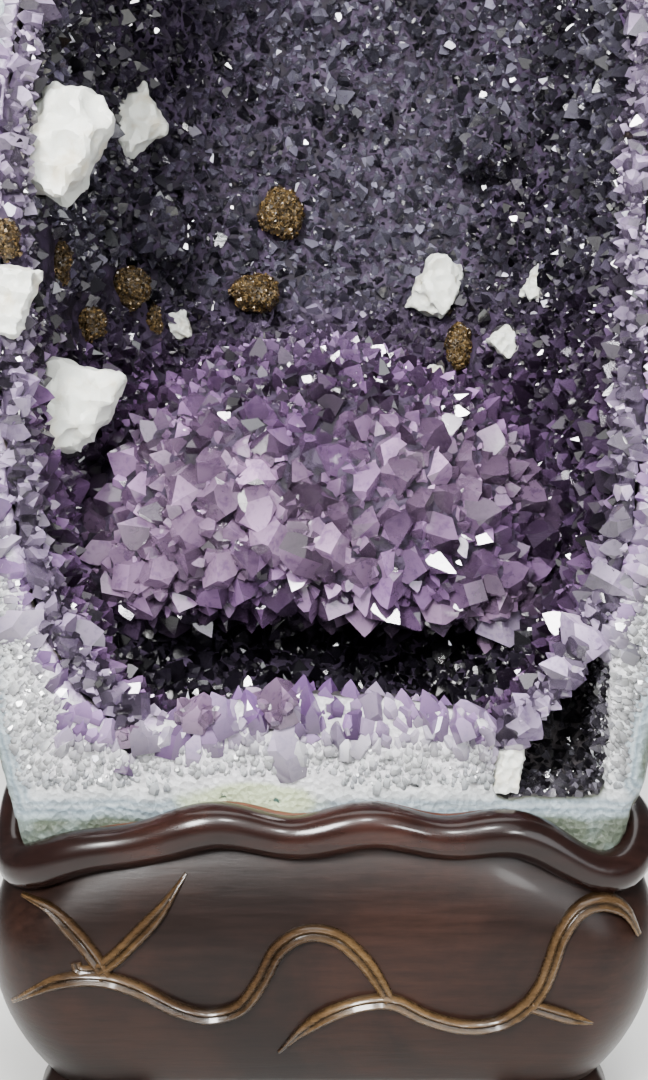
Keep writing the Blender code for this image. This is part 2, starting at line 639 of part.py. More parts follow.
def build():
    clear_scene()
    parts = new_collection("amethyst_geode")
    cutters = new_collection("cutters")
    wall_sockets = new_collection("sockets_in_lining")
    ledge_sockets = new_collection("sockets_in_ledge")
    crust_sockets = new_collection("sockets_in_crust")
    stone = make_material("crust_stone", (0.55, 0.56, 0.57), 0.55)
    amethyst = make_material("amethyst", (0.28, 0.16, 0.38), 0.15)
    calcite = make_material("calcite", (0.88, 0.90, 0.82), 0.45)
    goethite = make_material("goethite", (0.33, 0.20, 0.06), 0.60)
    wood = make_material("dark_wood", (0.075, 0.030, 0.018), 0.25)
    vine_wood = make_material("rubbed_wood", (0.28, 0.16, 0.06), 0.35)

    seat_cutter = build_crust(parts, cutters, crust_sockets, stone)
    build_lining(parts, cutters, wall_sockets, amethyst)
    build_ledge(parts, cutters, wall_sockets, ledge_sockets, amethyst)
    build_clusters(parts, cutters, wall_sockets, ledge_sockets, amethyst)
    build_points(parts, ledge_sockets, crust_sockets, wall_sockets, amethyst)
    build_minerals(parts, wall_sockets, ledge_sockets, crust_sockets, calcite, goethite)
    build_stand(parts, cutters, wood, vine_wood, seat_cutter)


build()
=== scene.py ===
# %% [markdown]
# # An amethyst geode on a carved wooden stand
#
# The real thing is a hollow lump of volcanic rock, opened at the front, whose inside is lined with
# quartz crystals, set in a dark lacquered stand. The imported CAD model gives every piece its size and
# place. This lesson builds the looks around it: the stand first, then the rock, then thousands of
# crystals grown on the rock's inside, and last the white and brown minerals that sit on them.

# %% Load the frame
import json
import math

import bpy
import numpy as np
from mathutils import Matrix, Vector
from mathutils.bvhtree import BVHTree

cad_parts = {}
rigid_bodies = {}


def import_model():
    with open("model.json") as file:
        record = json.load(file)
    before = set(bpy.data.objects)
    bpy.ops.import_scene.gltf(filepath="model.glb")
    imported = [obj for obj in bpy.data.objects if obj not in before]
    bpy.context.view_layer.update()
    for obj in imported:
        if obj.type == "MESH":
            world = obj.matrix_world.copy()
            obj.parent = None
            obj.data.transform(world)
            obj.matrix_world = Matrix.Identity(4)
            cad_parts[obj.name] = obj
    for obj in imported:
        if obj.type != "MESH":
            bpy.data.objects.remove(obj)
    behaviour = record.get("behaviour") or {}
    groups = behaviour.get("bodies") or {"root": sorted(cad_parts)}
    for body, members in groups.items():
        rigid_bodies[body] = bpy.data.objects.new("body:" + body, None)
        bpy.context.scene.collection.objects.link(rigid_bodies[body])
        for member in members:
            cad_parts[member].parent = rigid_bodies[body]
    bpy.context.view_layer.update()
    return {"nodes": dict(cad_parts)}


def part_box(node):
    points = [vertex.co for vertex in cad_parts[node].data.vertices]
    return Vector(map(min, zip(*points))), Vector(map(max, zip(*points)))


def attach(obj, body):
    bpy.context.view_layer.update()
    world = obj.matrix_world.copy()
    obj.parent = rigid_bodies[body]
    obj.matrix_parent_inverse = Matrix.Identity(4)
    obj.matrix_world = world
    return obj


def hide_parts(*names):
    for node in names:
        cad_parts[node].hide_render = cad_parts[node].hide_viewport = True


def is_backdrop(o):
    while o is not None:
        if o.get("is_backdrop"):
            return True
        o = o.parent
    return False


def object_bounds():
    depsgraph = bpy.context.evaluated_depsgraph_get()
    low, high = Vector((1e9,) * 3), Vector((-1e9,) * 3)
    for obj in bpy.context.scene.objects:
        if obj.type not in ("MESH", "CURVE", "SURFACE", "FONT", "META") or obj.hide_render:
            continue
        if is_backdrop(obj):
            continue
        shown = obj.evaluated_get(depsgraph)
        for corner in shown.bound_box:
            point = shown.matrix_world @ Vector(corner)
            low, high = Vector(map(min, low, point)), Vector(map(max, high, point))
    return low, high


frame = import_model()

NODES = frame["nodes"]

# %% [markdown]
# Operators act on whatever is selected, so each step starts by selecting only its own object.
# Every finished piece gets its material and rides on the one body that the object has.

# %% Helpers for objects
MERGE_GAP = 0.00001


def deselect():
    if bpy.context.object and bpy.context.object.mode != "OBJECT":
        bpy.ops.object.mode_set(mode="OBJECT")
    bpy.ops.object.select_all(action="DESELECT")


def only(obj):
    deselect()
    obj.select_set(True)
    bpy.context.view_layer.objects.active = obj
    return obj


def take_modifiers(obj):
    only(obj)
    for modifier in list(obj.modifiers):
        bpy.ops.object.modifier_apply(modifier=modifier.name)


def finish_piece(obj, material, nodes, smooth=None):
    """Gives a piece its material and its place in the frame; smooth is a shading angle in degrees."""
    only(obj)
    bpy.ops.object.transform_apply(location=True, rotation=True, scale=True)
    obj.data.materials.clear()
    obj.data.materials.append(material)
    if smooth:
        bpy.ops.object.shade_smooth_by_angle(angle=math.radians(smooth))
    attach(obj, "root")
    if nodes:
        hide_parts(*nodes)
    return obj


def merged_copy(name, nodes):
    """One new object with the merged meshes of some CAD nodes."""
    copies = []
    for node in nodes:
        copy = bpy.data.objects.new(name, NODES[node].data.copy())
        bpy.context.scene.collection.objects.link(copy)
        copies.append(copy)
    only(copies[0])
    for copy in copies[1:]:
        copy.select_set(True)
    if len(copies) > 1:
        bpy.ops.object.join()
    obj = bpy.context.view_layer.objects.active
    bpy.ops.object.mode_set(mode="EDIT")
    bpy.ops.mesh.select_all(action="SELECT")
    bpy.ops.mesh.remove_doubles(threshold=MERGE_GAP)
    bpy.ops.object.mode_set(mode="OBJECT")
    return obj


def tube(name, places, shares, radius, roundness, closed):
    """A round tube through some places; each place has its own share of the radius."""
    curve = bpy.data.curves.new(name, "CURVE")
    curve.dimensions = "3D"
    curve.bevel_depth = radius
    curve.bevel_resolution = roundness
    curve.use_fill_caps = not closed
    spline = curve.splines.new("POLY")
    spline.points.add(len(places) - 1)
    spline.use_cyclic_u = closed
    for point, place, share in zip(spline.points, places, shares):
        point.co = (*place, 1.0)
        point.radius = share
    obj = bpy.data.objects.new(name, curve)
    bpy.context.scene.collection.objects.link(obj)
    only(obj)
    bpy.ops.object.convert(target="MESH")
    return bpy.context.object


def faced_outwards(obj, merge=False):
    """Turns all faces of a closed mesh outwards, after merging doubled points."""
    only(obj)
    bpy.ops.object.mode_set(mode="EDIT")
    bpy.ops.mesh.select_all(action="SELECT")
    if merge:
        bpy.ops.mesh.remove_doubles(threshold=MERGE_GAP)
    bpy.ops.mesh.normals_make_consistent(inside=False)
    bpy.ops.object.mode_set(mode="OBJECT")
    return obj


def store(obj, name, values):
    """Stores a value on each point of a mesh, for its material to read."""
    layer = obj.data.attributes.new(name, "FLOAT", "POINT")
    layer.data.foreach_set("value", np.asarray(values, dtype=np.float32))


def remeshed(obj, voxel, smoothing=0, strength=0.5):
    """Rebuilds a mesh from small even cells, then smooths it."""
    remesh = obj.modifiers.new("even cells", "REMESH")
    remesh.mode = "VOXEL"
    remesh.voxel_size = voxel
    if smoothing:
        smooth = obj.modifiers.new("smooth", "SMOOTH")
        smooth.factor = strength
        smooth.iterations = smoothing
    take_modifiers(obj)
    return obj


def displaced(obj, kind, size, strength, middle=0.5, depth=2):
    """Moves a surface in and out by a procedural texture."""
    texture = bpy.data.textures.new(obj.name + "_" + kind.lower(), kind)
    texture.noise_scale = size
    if kind == "CLOUDS":
        texture.noise_depth = depth
    modifier = obj.modifiers.new("rough", "DISPLACE")
    modifier.texture = texture
    modifier.texture_coords = "LOCAL"
    modifier.strength = strength
    modifier.mid_level = middle
    take_modifiers(obj)
    return obj


# %% [markdown]
# The camera stands level with the middle of the geode, a little above it and looking slightly down,
# close enough that the geode's open front fills the view.

# %% Camera
crust_low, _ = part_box("geode_crust")
bpy.ops.object.camera_add(location=(0.0, crust_low.y - 0.586, 0.357), rotation=(math.radians(90 - 5.06), 0, 0))
camera = bpy.context.object
camera.name = "view"
camera.data.lens = 41.2
camera.data.clip_start = 0.01
bpy.context.scene.camera = camera

# %% [markdown]
# ## Finishes
# Wood, stone and crystal all vary over their surface. Two effects are shared, so each is a node
# group: soft blotches of tone, and fine grain that also gives a bump height.

# %% Shared effects


def new_group(name, inputs, outputs):
    """An empty node group, with what it is given and what it puts out."""
    group = bpy.data.node_groups.new(name, "ShaderNodeTree")
    for label, kind, value in inputs:
        socket = group.interface.new_socket(label, in_out="INPUT", socket_type="NodeSocket" + kind)
        socket.default_value = value
    for label, kind in outputs:
        group.interface.new_socket(label, in_out="OUTPUT", socket_type="NodeSocket" + kind)
    return group, group.nodes.new("NodeGroupInput").outputs, group.nodes.new("NodeGroupOutput").inputs


def give(tree, socket, value):
    """Joins a socket to another node's output, or sets it to a plain value."""
    if isinstance(value, bpy.types.NodeSocket):
        tree.links.new(value, socket)
    else:
        socket.default_value = value


def set_sockets(tree, made, **values):
    """Sets sockets by their names, written with _ for a space."""
    for key, value in values.items():
        give(tree, made.inputs[key.replace("_", " ")], value)


def node(tree, kind, **settings):
    """Adds a node; each setting is one of its sockets or one of its properties."""
    made = tree.nodes.new("ShaderNode" + kind)
    for key, value in settings.items():
        if key.replace("_", " ") in made.inputs:
            set_sockets(tree, made, **{key: value})
        else:
            setattr(made, key, value)
    return made


def attribute(tree, name):
    return node(tree, "Attribute", attribute_name=name).outputs


def maths(tree, operation, *values):
    made = node(tree, "Math", operation=operation)
    for socket, value in zip(made.inputs, values):
        give(tree, socket, value)
    return made.outputs[0]


def ranged(tree, value, low=0.0, high=1.0, to_low=0.0, to_high=1.0, kind="LINEAR"):
    """Maps a value from one range to another."""
    made = node(tree, "MapRange", interpolation_type=kind, Value=value,
                From_Min=low, From_Max=high, To_Min=to_low, To_Max=to_high)
    return made.outputs["Result"]


def mixed(tree, share, first, second, blend="MIX"):
    """Mixes or multiplies two colours."""
    made = node(tree, "Mix", data_type="RGBA", blend_type=blend)
    for index, value in ((0, share), (6, first), (7, second)):
        give(tree, made.inputs[index], value)
    return made.outputs[2]


def ramped(tree, value, colours):
    """Turns a value into a colour by a list of places and colours."""
    made = node(tree, "ValToRGB", Fac=value)
    elements = made.color_ramp.elements
    while len(elements) < len(colours):
        elements.new(0.5)
    for element, (at, colour) in zip(elements, colours):
        element.position = at
        element.color = (*colour, 1)
    return made.outputs["Color"]


def blotch_group():
    """Mixes two colours by soft, uneven patches."""
    group, given, result = new_group(
        "Blotches",
        [("First", "Color", (0.5, 0.5, 0.5, 1)), ("Second", "Color", (0.2, 0.2, 0.2, 1)),
         ("Scale", "Float", 20.0), ("Low", "Float", 0.4), ("High", "Float", 0.6)],
        [("Color", "Color"), ("Mask", "Float")],
    )
    place = node(group, "TexCoord").outputs["Object"]
    noise = node(group, "TexNoise", Vector=place, Scale=given["Scale"], Detail=6.0, Roughness=0.6, Distortion=0.4)
    mask = ranged(group, noise.outputs["Fac"], given["Low"], given["High"], kind="SMOOTHSTEP")
    give(group, result["Color"], mixed(group, mask, given["First"], given["Second"]))
    give(group, result["Mask"], mask)
    return group


def grain_group():
    """Fine streaks, stretched along X, as a mask for colour and a height for bumps."""
    group, given, result = new_group(
        "Fine grain", [("Scale", "Float", 300.0), ("Stretch", "Float", 12.0)], [("Mask", "Float")]
    )
    squeeze = node(group, "CombineXYZ", X=maths(group, "DIVIDE", 1.0, given["Stretch"]), Y=1.0, Z=1.0)
    place = node(group, "VectorMath", operation="MULTIPLY")
    give(group, place.inputs[0], node(group, "TexCoord").outputs["Object"])
    give(group, place.inputs[1], squeeze.outputs[0])
    noise = node(group, "TexNoise", Vector=place.outputs[0], Scale=given["Scale"], Detail=8.0, Roughness=0.7)
    give(group, result["Mask"], noise.outputs["Fac"])
    return group


BLOTCHES = blotch_group()
GRAIN = grain_group()


def blotches(tree, first, second, scale, low=0.4, high=0.6):
    return node(tree, "Group", node_tree=BLOTCHES, First=(*first, 1), Second=(*second, 1), Scale=scale,
                Low=low, High=high).outputs


def grain(tree, scale, stretch):
    return node(tree, "Group", node_tree=GRAIN, Scale=scale, Stretch=stretch).outputs["Mask"]


def new_material(name):
    material = bpy.data.materials.new(name)
    material.use_nodes = True
    return material, material.node_tree, material.node_tree.nodes["Principled BSDF"]


def add_bump(tree, shader, height, strength, distance):
    bump = node(tree, "Bump", Strength=strength, Distance=distance, Height=height)
    give(tree, shader.inputs["Normal"], bump.outputs["Normal"])


# %% [markdown]
# Lacquered wood: almost black brown with a red undertone, fine level grain that shows through, and a
# clear top coat. The rolled rim is rubbed to a higher gloss than the sides.

# %% Wood finishes


def wood_finish(name, dark, light, roughness, coat, grain_scale, bump):
    material, tree, shader = new_material(name)
    patches = blotches(tree, dark, light, 9.0, 0.42, 0.66)["Color"]
    streaks = grain(tree, grain_scale, 9.0)
    streaked = ranged(tree, streaks, 0.3, 0.7, 0.45, 1.5)
    set_sockets(
        tree, shader, Base_Color=mixed(tree, 0.75, patches, streaked, "MULTIPLY"),
        Roughness=ranged(tree, streaks, to_low=roughness * 0.75, to_high=roughness * 1.35),
        Specular_IOR_Level=0.22, Coat_Weight=coat, Coat_Roughness=0.10,
    )
    add_bump(tree, shader, streaks, bump, 0.0004)
    return material


PANEL_WOOD = wood_finish("panel_wood", (0.0085, 0.0040, 0.0030), (0.021, 0.0085, 0.0055), 0.34, 0.05, 260.0, 0.30)
RIM_WOOD = wood_finish("rim_wood", (0.010, 0.0042, 0.0035), (0.028, 0.0100, 0.007), 0.22, 0.30, 160.0, 0.12)
EDGE_WOOD = wood_finish("edge_wood", (0.07, 0.022, 0.010), (0.14, 0.05, 0.022), 0.30, 0.6, 200.0, 0.3)
VINE_WOOD = wood_finish("vine_wood", (0.034, 0.018, 0.008), (0.100, 0.058, 0.024), 0.26, 0.5, 420.0, 0.5)

# The stems' stored distance from their middle darkens the groove and the edges as painted shade, and lifts the
# shoulders a little.
vine_tree = VINE_WOOD.node_tree
vine_colour = vine_tree.nodes["Principled BSDF"].inputs["Base Color"]
GROOVE_SHADE_RAMP = [(0.0, (0.22, 0.22, 0.22)), (0.35, (1.0, 1.0, 1.0)), (0.75, (1.1, 1.1, 1.1)), (1.0, (0.25, 0.25, 0.25))]
groove_shaded = ramped(vine_tree, attribute(vine_tree, "across")["Fac"], GROOVE_SHADE_RAMP)
give(vine_tree, vine_colour, mixed(vine_tree, 1.0, vine_colour.links[0].from_socket, groove_shaded, "MULTIPLY"))

# %% [markdown]
# ## The stand
# The stand's body is a block with rounded corners and bulging sides. A box is the natural start: its
# upright edges are bevelled, it is cut level into rings, and each ring is scaled to the bulge.

# %% Stand body
body_low, body_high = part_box("stand_body")
foot_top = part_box("stand_foot_front_left")[1].z
STAND_WIDTH = body_high.x - body_low.x - 0.0006
STAND_DEPTH = body_high.y - body_low.y - 0.0006
BULGE_Z = 0.104
PANEL_TOP = 0.158
SHELF_Z = 0.1395
CORNER_DIP = 0.020


def ease_in(share):
    """0 to 1 with a soft start and end."""
    share = np.clip(share, 0, 1)
    return share * share * (3 - 2 * share)


def corner_share(x, y):
    """1 at the stand's corners, falling to 0 along its sides."""
    corner = math.atan2(STAND_DEPTH, STAND_WIDTH)
    folded = abs(math.atan2(abs(y), abs(x)) - corner)
    return math.exp(-((folded / 0.20) ** 2))


def side_inset(z):
    return 0.011 * ((z - BULGE_Z) / 0.050) ** 2


deselect()
bpy.ops.mesh.primitive_cube_add(
    size=1.0, location=(0, 0, (foot_top + PANEL_TOP) / 2), scale=(STAND_WIDTH, STAND_DEPTH, PANEL_TOP - foot_top)
)
stand = bpy.context.object
stand.name = "carved_stand_body"
bpy.ops.object.transform_apply(location=True, rotation=True, scale=True)
bpy.ops.object.mode_set(mode="EDIT")
bpy.ops.mesh.select_mode(type="EDGE")
bpy.ops.mesh.select_all(action="DESELECT")
bpy.ops.object.mode_set(mode="OBJECT")
for edge in stand.data.edges:
    a, b = (stand.data.vertices[i].co for i in edge.vertices)
    edge.select = abs(a.z - b.z) > 0.01
bpy.ops.object.mode_set(mode="EDIT")
bpy.ops.mesh.bevel(offset=0.042, segments=14, affect="EDGES")
for level in range(1, 18):
    bpy.ops.mesh.select_all(action="SELECT")
    height = foot_top + level * (PANEL_TOP - foot_top) / 18
    bpy.ops.mesh.bisect(plane_co=(0, 0, height), plane_no=(0, 0, 1))
for step in range(-10, 11):
    bpy.ops.mesh.select_all(action="SELECT")
    bpy.ops.mesh.bisect(plane_co=(step * 0.012, 0, 0), plane_no=(1, 0, 0))
    bpy.ops.mesh.select_all(action="SELECT")
    bpy.ops.mesh.bisect(plane_co=(0, step * 0.0085, 0), plane_no=(0, 1, 0))
bpy.ops.object.mode_set(mode="OBJECT")
for face in stand.data.polygons:
    face.select = face.normal.z > 0.9
bpy.ops.object.mode_set(mode="EDIT")
bpy.ops.mesh.select_mode(type="FACE")
bpy.ops.mesh.inset(thickness=0.014)
bpy.ops.mesh.inset(thickness=0.004)
bpy.ops.object.mode_set(mode="OBJECT")
for vertex in stand.data.vertices:
    place = vertex.co
    outside = max(abs(place.x) / (STAND_WIDTH / 2), abs(place.y) / (STAND_DEPTH / 2))
    inner = place.z > PANEL_TOP - 1e-4 and min(STAND_WIDTH / 2 - abs(place.x), STAND_DEPTH / 2 - abs(place.y)) > 0.012
    inset = side_inset(place.z)
    dip = CORNER_DIP * corner_share(place.x, place.y) * max(0.0, (place.z - BULGE_Z) / (PANEL_TOP - BULGE_Z))
    place.x *= 1.0 - inset / (STAND_WIDTH / 2)
    place.y *= 1.0 - inset / (STAND_DEPTH / 2)
    place.z -= dip
    if inner and place.z > SHELF_Z:
        place.z = SHELF_Z
finish_piece(stand, PANEL_WOOD, [], smooth=60)
print("stand body:", len(stand.data.polygons), "faces")

# %% [markdown]
# The rim is a round moulding that rises and falls as it runs round the stand and drops at the
# corners. A closed curve with a round profile gives that directly; each of its points has its own
# height and thickness. A thin raised edge follows it on the inside.

# %% Rolled rim
RIM_RADIUS = 0.0108
RIM_INSET = 0.0105
RIM_Z = 0.1655
WAVE = 0.0030
WAVES = 14
CREST_X = 0.023


def plan_point(angle, half_width, half_depth, power=8.0):
    c, s = math.cos(angle), math.sin(angle)
    reach = (abs(c / half_width) ** power + abs(s / half_depth) ** power) ** (-1 / power)
    return Vector((c * reach, s * reach, 0.0))


def moulding(name, inset, lift, radius, swell, points=280):
    plan = [
        plan_point(-math.pi / 2 + 2 * math.pi * i / points, STAND_WIDTH / 2 - inset, STAND_DEPTH / 2 - inset)
        for i in range(points)
    ]
    lengths = [(b - a).length for a, b in zip(plan, plan[1:] + plan[:1])]
    places, shares = [], []
    run = 0.0
    for place, length in zip(plan, lengths):
        phase = 2 * math.pi * WAVES * (run - CREST_X) / sum(lengths)
        dip = CORNER_DIP * corner_share(place.x, place.y)
        places.append((place.x, place.y, RIM_Z + lift + WAVE * math.cos(phase) - dip))
        shares.append(1.0 + swell * math.cos(phase + 0.9))
        run += length
    return faced_outwards(tube(name, places, shares, radius, 6, closed=True), merge=True)


rim = moulding("rolled_rim", RIM_INSET, 0.0, RIM_RADIUS, 0.06)
finish_piece(rim, RIM_WOOD, ["stand_body"], smooth=60)
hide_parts("stand_body")
edge = moulding("rim_edge", RIM_INSET + 0.0066, 0.0078, 0.0020, 0.0)
finish_piece(edge, EDGE_WOOD, [], smooth=60)

# %% [markdown]
# The feet's CAD shapes are already right in place and size, so a copy of each is rebuilt from small
# even cells and smoothed, as a carver rounds a blank.

# %% Feet
for name in sorted(n for n in NODES if n.startswith("stand_foot")):
    foot = remeshed(merged_copy("carved_" + name, [name]), 0.0022, smoothing=6)
    finish_piece(foot, PANEL_WOOD, [name], smooth=60)

# %% [markdown]
# The stems are carved in low relief on the front: long, slightly flattened rods with a groove down
# the middle and tapered ends. Each starts as a round tube along its route. Then every point of the
# tube is laid on the bulging panel, at a height that depends on how far it is from the rod's middle.

# %% Carved stems
STEM_RADIUS = 0.0041
ROUTES = {
    "vine_left_run": ([(-0.152, 0.080), (-0.130, 0.094), (-0.108, 0.097), (-0.090, 0.092), (-0.070, 0.081),
                       (-0.055, 0.077), (-0.040, 0.082), (-0.030, 0.096), (-0.022, 0.111), (-0.009, 0.119),
                       (0.006, 0.117), (0.019, 0.106), (0.027, 0.094), (0.031, 0.086)], 0.3, 0.8),
    "vine_tip_left": ([(-0.146, 0.134), (-0.131, 0.129), (-0.118, 0.118), (-0.109, 0.107),
                       (-0.104, 0.098)], 0.2, 0.9),
    "vine_tip_right": ([(-0.066, 0.146), (-0.078, 0.129), (-0.091, 0.1155), (-0.101, 0.106), (-0.109, 0.1015),
                        (-0.1165, 0.1015), (-0.118, 0.105)], 0.2, 0.7),
    "vine_middle_run": ([(-0.022, 0.055), (-0.010, 0.069), (0.004, 0.079), (0.020, 0.0845), (0.034, 0.0845),
                         (0.050, 0.076), (0.068, 0.071), (0.084, 0.073), (0.0965, 0.082), (0.103, 0.091)], 0.2, 1.0),
    "vine_right_run": ([(0.0985, 0.083), (0.1045, 0.094), (0.108, 0.104), (0.113, 0.118), (0.122, 0.129),
                        (0.134, 0.132), (0.145, 0.127), (0.152, 0.115)], 1.0, 0.4),
    "vine_spike": ([(0.0985, 0.083), (0.118, 0.076), (0.136, 0.070)], 0.9, 0.1),
}


def front_of_body(x, z):
    inset = side_inset(z)
    share = min(1.0, abs(x) / (STAND_WIDTH / 2 - inset)) ** 8
    return -(STAND_DEPTH / 2 - inset) * (1.0 - share) ** (1 / 8)


def smooth_route(points, step=0.0012):
    """Even steps along a smooth curve through the given points."""
    knots = [np.array(p) for p in [points[0], *points, points[-1]]]
    route = []
    for a, b, c, d in zip(knots, knots[1:], knots[2:], knots[3:]):
        count = max(2, int(np.linalg.norm(c - b) / step))
        for t in np.arange(count) / count:
            route.append(0.5 * (2 * b + (c - a) * t + (2 * a - 5 * b + 4 * c - d) * t**2
                                + (3 * b - a - 3 * c + d) * t**3))
    return np.array(route + [knots[-1]])


for name, (points, first_end, last_end) in ROUTES.items():
    route = smooth_route(points)
    count = len(route)
    run = np.arange(count) * 0.0012
    width = np.minimum(first_end + (1 - first_end) * ease_in(run / 0.030), 1.0)
    width = width * np.minimum(last_end + (1 - last_end) * ease_in(run[::-1] / 0.022), 1.0)
    stem = tube("carved_" + name, [(x, 0.0, z) for x, z in route], width, STEM_RADIUS, 5, closed=False)
    across = []
    for vertex in stem.data.vertices:
        gaps = np.hypot(route[:, 0] - vertex.co.x, route[:, 1] - vertex.co.z)
        nearest = int(np.argmin(gaps))
        share = min(1.0, gaps[nearest] / (STEM_RADIUS * width[nearest]))
        groove = 1.0 - 0.42 * math.exp(-((share / 0.26) ** 2)) * width[nearest]
        relief = 0.0045 * width[nearest] ** 0.7 * (1 - share**3) ** 0.5 * groove
        back = vertex.co.y > 1e-6
        vertex.co.y = front_of_body(vertex.co.x, vertex.co.z) + (0.002 if back else -relief)
        across.append(share)
    faced_outwards(stem)
    store(stem, "across", across)
    finish_piece(stem, VINE_WOOD, [name], smooth=50)
    print(name, len(stem.data.polygons), "faces")

# %% [markdown]
# ## The rock
# The crust is one lump of rock, so its CAD shape is rebuilt as one even mesh and roughened. Two
# distances are stored on it for its finish: how deep a point lies under the outer skin, and how far
# it is from the hollow. The bands of agate and quartz on the broken face follow them.

# %% Crust
FRONT_LEAN = math.radians(2.0)
BASE_Z = 0.168


def front_y(z):
    return crust_low.y + (z - crust_low.z) * math.tan(FRONT_LEAN)


def tree_of(obj, keep=None):
    mesh = obj.data
    vertices = [v.co.copy() for v in mesh.vertices]
    faces = [tuple(f.vertices) for f in mesh.polygons if keep is None or keep(f)]
    return BVHTree.FromPolygons(vertices, faces)


def is_skin(face):
    """True for a face on the crust's outside: not the broken front, the base or the hollow."""
    middle = face.center
    out = Vector((middle.x, middle.y + 0.05, (middle.z - 0.42) * 0.3))
    pocket = abs(middle.x) < 0.152 and middle.y < -0.050 and middle.z < 0.275
    return not pocket and face.normal.y > -0.8 and face.normal.z > -0.9 and face.normal.dot(out) > 0


skin_tree = tree_of(NODES["geode_crust"], is_skin)
lining_tree = tree_of(NODES["amethyst_lining"])
crust = remeshed(merged_copy("geode_rock", ["geode_crust"]), 0.0036, smoothing=3)
displaced(crust, "CLOUDS", 0.045, 0.006)
displaced(crust, "CLOUDS", 0.010, 0.0030)
print("crust:", len(crust.data.polygons), "faces")

depths, reaches, fronts, insides = [], [], [], []
for vertex in crust.data.vertices:
    place = vertex.co
    under = skin_tree.find_nearest(place)[3]
    depths.append(min(under, max(0.0, place.z - BASE_Z)) if place.y < front_y(place.z) + 0.02 else under)
    reaches.append(lining_tree.find_nearest(place)[3])
    fronts.append(1.0 if place.y < front_y(place.z) + 0.004 else 0.0)
    # Points deep behind the broken front, inside the hollow, are flagged for painted shade in the finish.
    behind = place.y > front_y(place.z) + 0.006
    insides.append(1.0 if behind and under > 0.012 and place.z > 0.165 else 0.0)
store(crust, "inside", insides)
store(crust, "under_skin", depths)
store(crust, "from_hollow", reaches)
store(crust, "front", fronts)

# %% [markdown]
# From the outside in, the broken face shows a grey-green skin, a band of blue-grey agate, milky
# quartz and then lilac quartz at the hollow. A colour ramp reads the stored depth, made uneven by
# noise. The outer skin is dull and pitted, with rusty patches.

# %% Rock finish


def rock_finish():
    material, tree, shader = new_material("rock")
    place = node(tree, "TexCoord").outputs["Object"]
    depth, reach, front, inside = (
        attribute(tree, name)["Fac"] for name in ("under_skin", "from_hollow", "front", "inside")
    )
    wobble = node(tree, "TexNoise", Vector=place, Scale=60.0, Detail=6.0).outputs["Fac"]
    grains = node(tree, "TexVoronoi", Vector=place, Scale=330.0).outputs

    # The broken face: bands from the skin inwards, sugary grains, and lilac at the hollow.
    bands = ramped(tree, ranged(tree, maths(tree, "MULTIPLY_ADD", wobble, 0.006, depth), 0.003, 0.027), [
        (0.00, (0.08, 0.10, 0.07)), (0.05, (0.16, 0.21, 0.20)), (0.12, (0.30, 0.37, 0.40)),
        (0.20, (0.17, 0.23, 0.27)), (0.27, (0.36, 0.42, 0.45)), (0.36, (0.22, 0.28, 0.32)),
        (0.47, (0.48, 0.51, 0.53)), (0.66, (0.66, 0.67, 0.68)), (1.00, (0.66, 0.64, 0.68)),
    ])
    sugary = mixed(tree, 1.0, bands, ranged(tree, grains["Color"], to_low=0.62, to_high=1.12), "MULTIPLY")
    lilac = ranged(tree, reach, 0.007, 0.001, kind="SMOOTHSTEP")
    face = mixed(tree, lilac, sugary, (0.40, 0.30, 0.48, 1))

    # A yellow-green stain with dark green spots, in a ragged oval on the lip's foot.
    oval = node(tree, "Mapping", Vector=place, Location=(0.033 / 0.036, 0.0, -0.1785 / 0.0085),
                Scale=(1 / 0.036, 0.0, 1 / 0.0085))
    away = node(tree, "VectorMath", operation="LENGTH")
    give(tree, away.inputs[0], oval.outputs["Vector"])
    ragged = maths(tree, "MULTIPLY_ADD", wobble, 0.7, away.outputs["Value"])
    stain = ranged(tree, ragged, 1.45, 1.05, kind="SMOOTHSTEP")
    moss = blotches(tree, (0.42, 0.48, 0.30), (0.02, 0.06, 0.045), 150.0, 0.60, 0.66)["Color"]
    face = mixed(tree, stain, face, moss)

    # The outer skin is dull and speckled; what lies inside the hollow is painted nearly black, as painted shade.
    skin = blotches(tree, (0.085, 0.098, 0.075), (0.15, 0.115, 0.075), 11.0, 0.40, 0.75)["Color"]
    specks = blotches(tree, (0.45, 0.45, 0.45), (1.3, 1.3, 1.25), 420.0, 0.30, 0.70)["Color"]
    painted_shading = blotches(tree, (0.012, 0.010, 0.013), (0.05, 0.042, 0.045), 120.0)["Color"]
    outside = mixed(tree, inside, mixed(tree, 1.0, skin, specks, "MULTIPLY"), painted_shading)

    set_sockets(tree, shader, Base_Color=mixed(tree, front, outside, face),
                Roughness=ranged(tree, front, to_low=0.80, to_high=0.30))
    pits = node(tree, "TexNoise", Vector=place, Scale=380.0, Detail=8.0, Roughness=0.65).outputs["Fac"]
    add_bump(tree, shader, maths(tree, "ADD", pits, grains["Distance"]), 0.9, 0.0014)
    return material


ROCK = rock_finish()
finish_piece(crust, ROCK, ["geode_crust"], smooth=70)

# %% [markdown]
# The bed is what the crystals grow on: the lining, the ledge and its rounded clusters as one
# undulating surface. Almost nothing of it shows between the crystals; its finish is a near-black violet, painted
# shade for the gaps between them.

# %% Bed of the crystals
BED_NODES = ["amethyst_lining", "amethyst_ledge", "amethyst_dome", "amethyst_rosette_left", "amethyst_rosette_right"]
bed = remeshed(merged_copy("crystal_bed", BED_NODES), 0.0036, smoothing=5)
displaced(bed, "CLOUDS", 0.028, 0.009)
print("bed:", len(bed.data.polygons), "faces")


def bed_finish():
    material, tree, shader = new_material("bed_painted_shade")
    # Near-black violet: painted shade for the gaps between the crystals.
    patches = blotches(tree, (0.010, 0.007, 0.013), (0.040, 0.027, 0.052), 90.0)
    set_sockets(tree, shader, Base_Color=patches["Color"], Roughness=0.6, Specular_IOR_Level=0.2)
    add_bump(tree, shader, patches["Mask"], 0.8, 0.001)
    return material


PAINTED_SHADE_BED = bed_finish()
finish_piece(bed, PAINTED_SHADE_BED, BED_NODES, smooth=80)

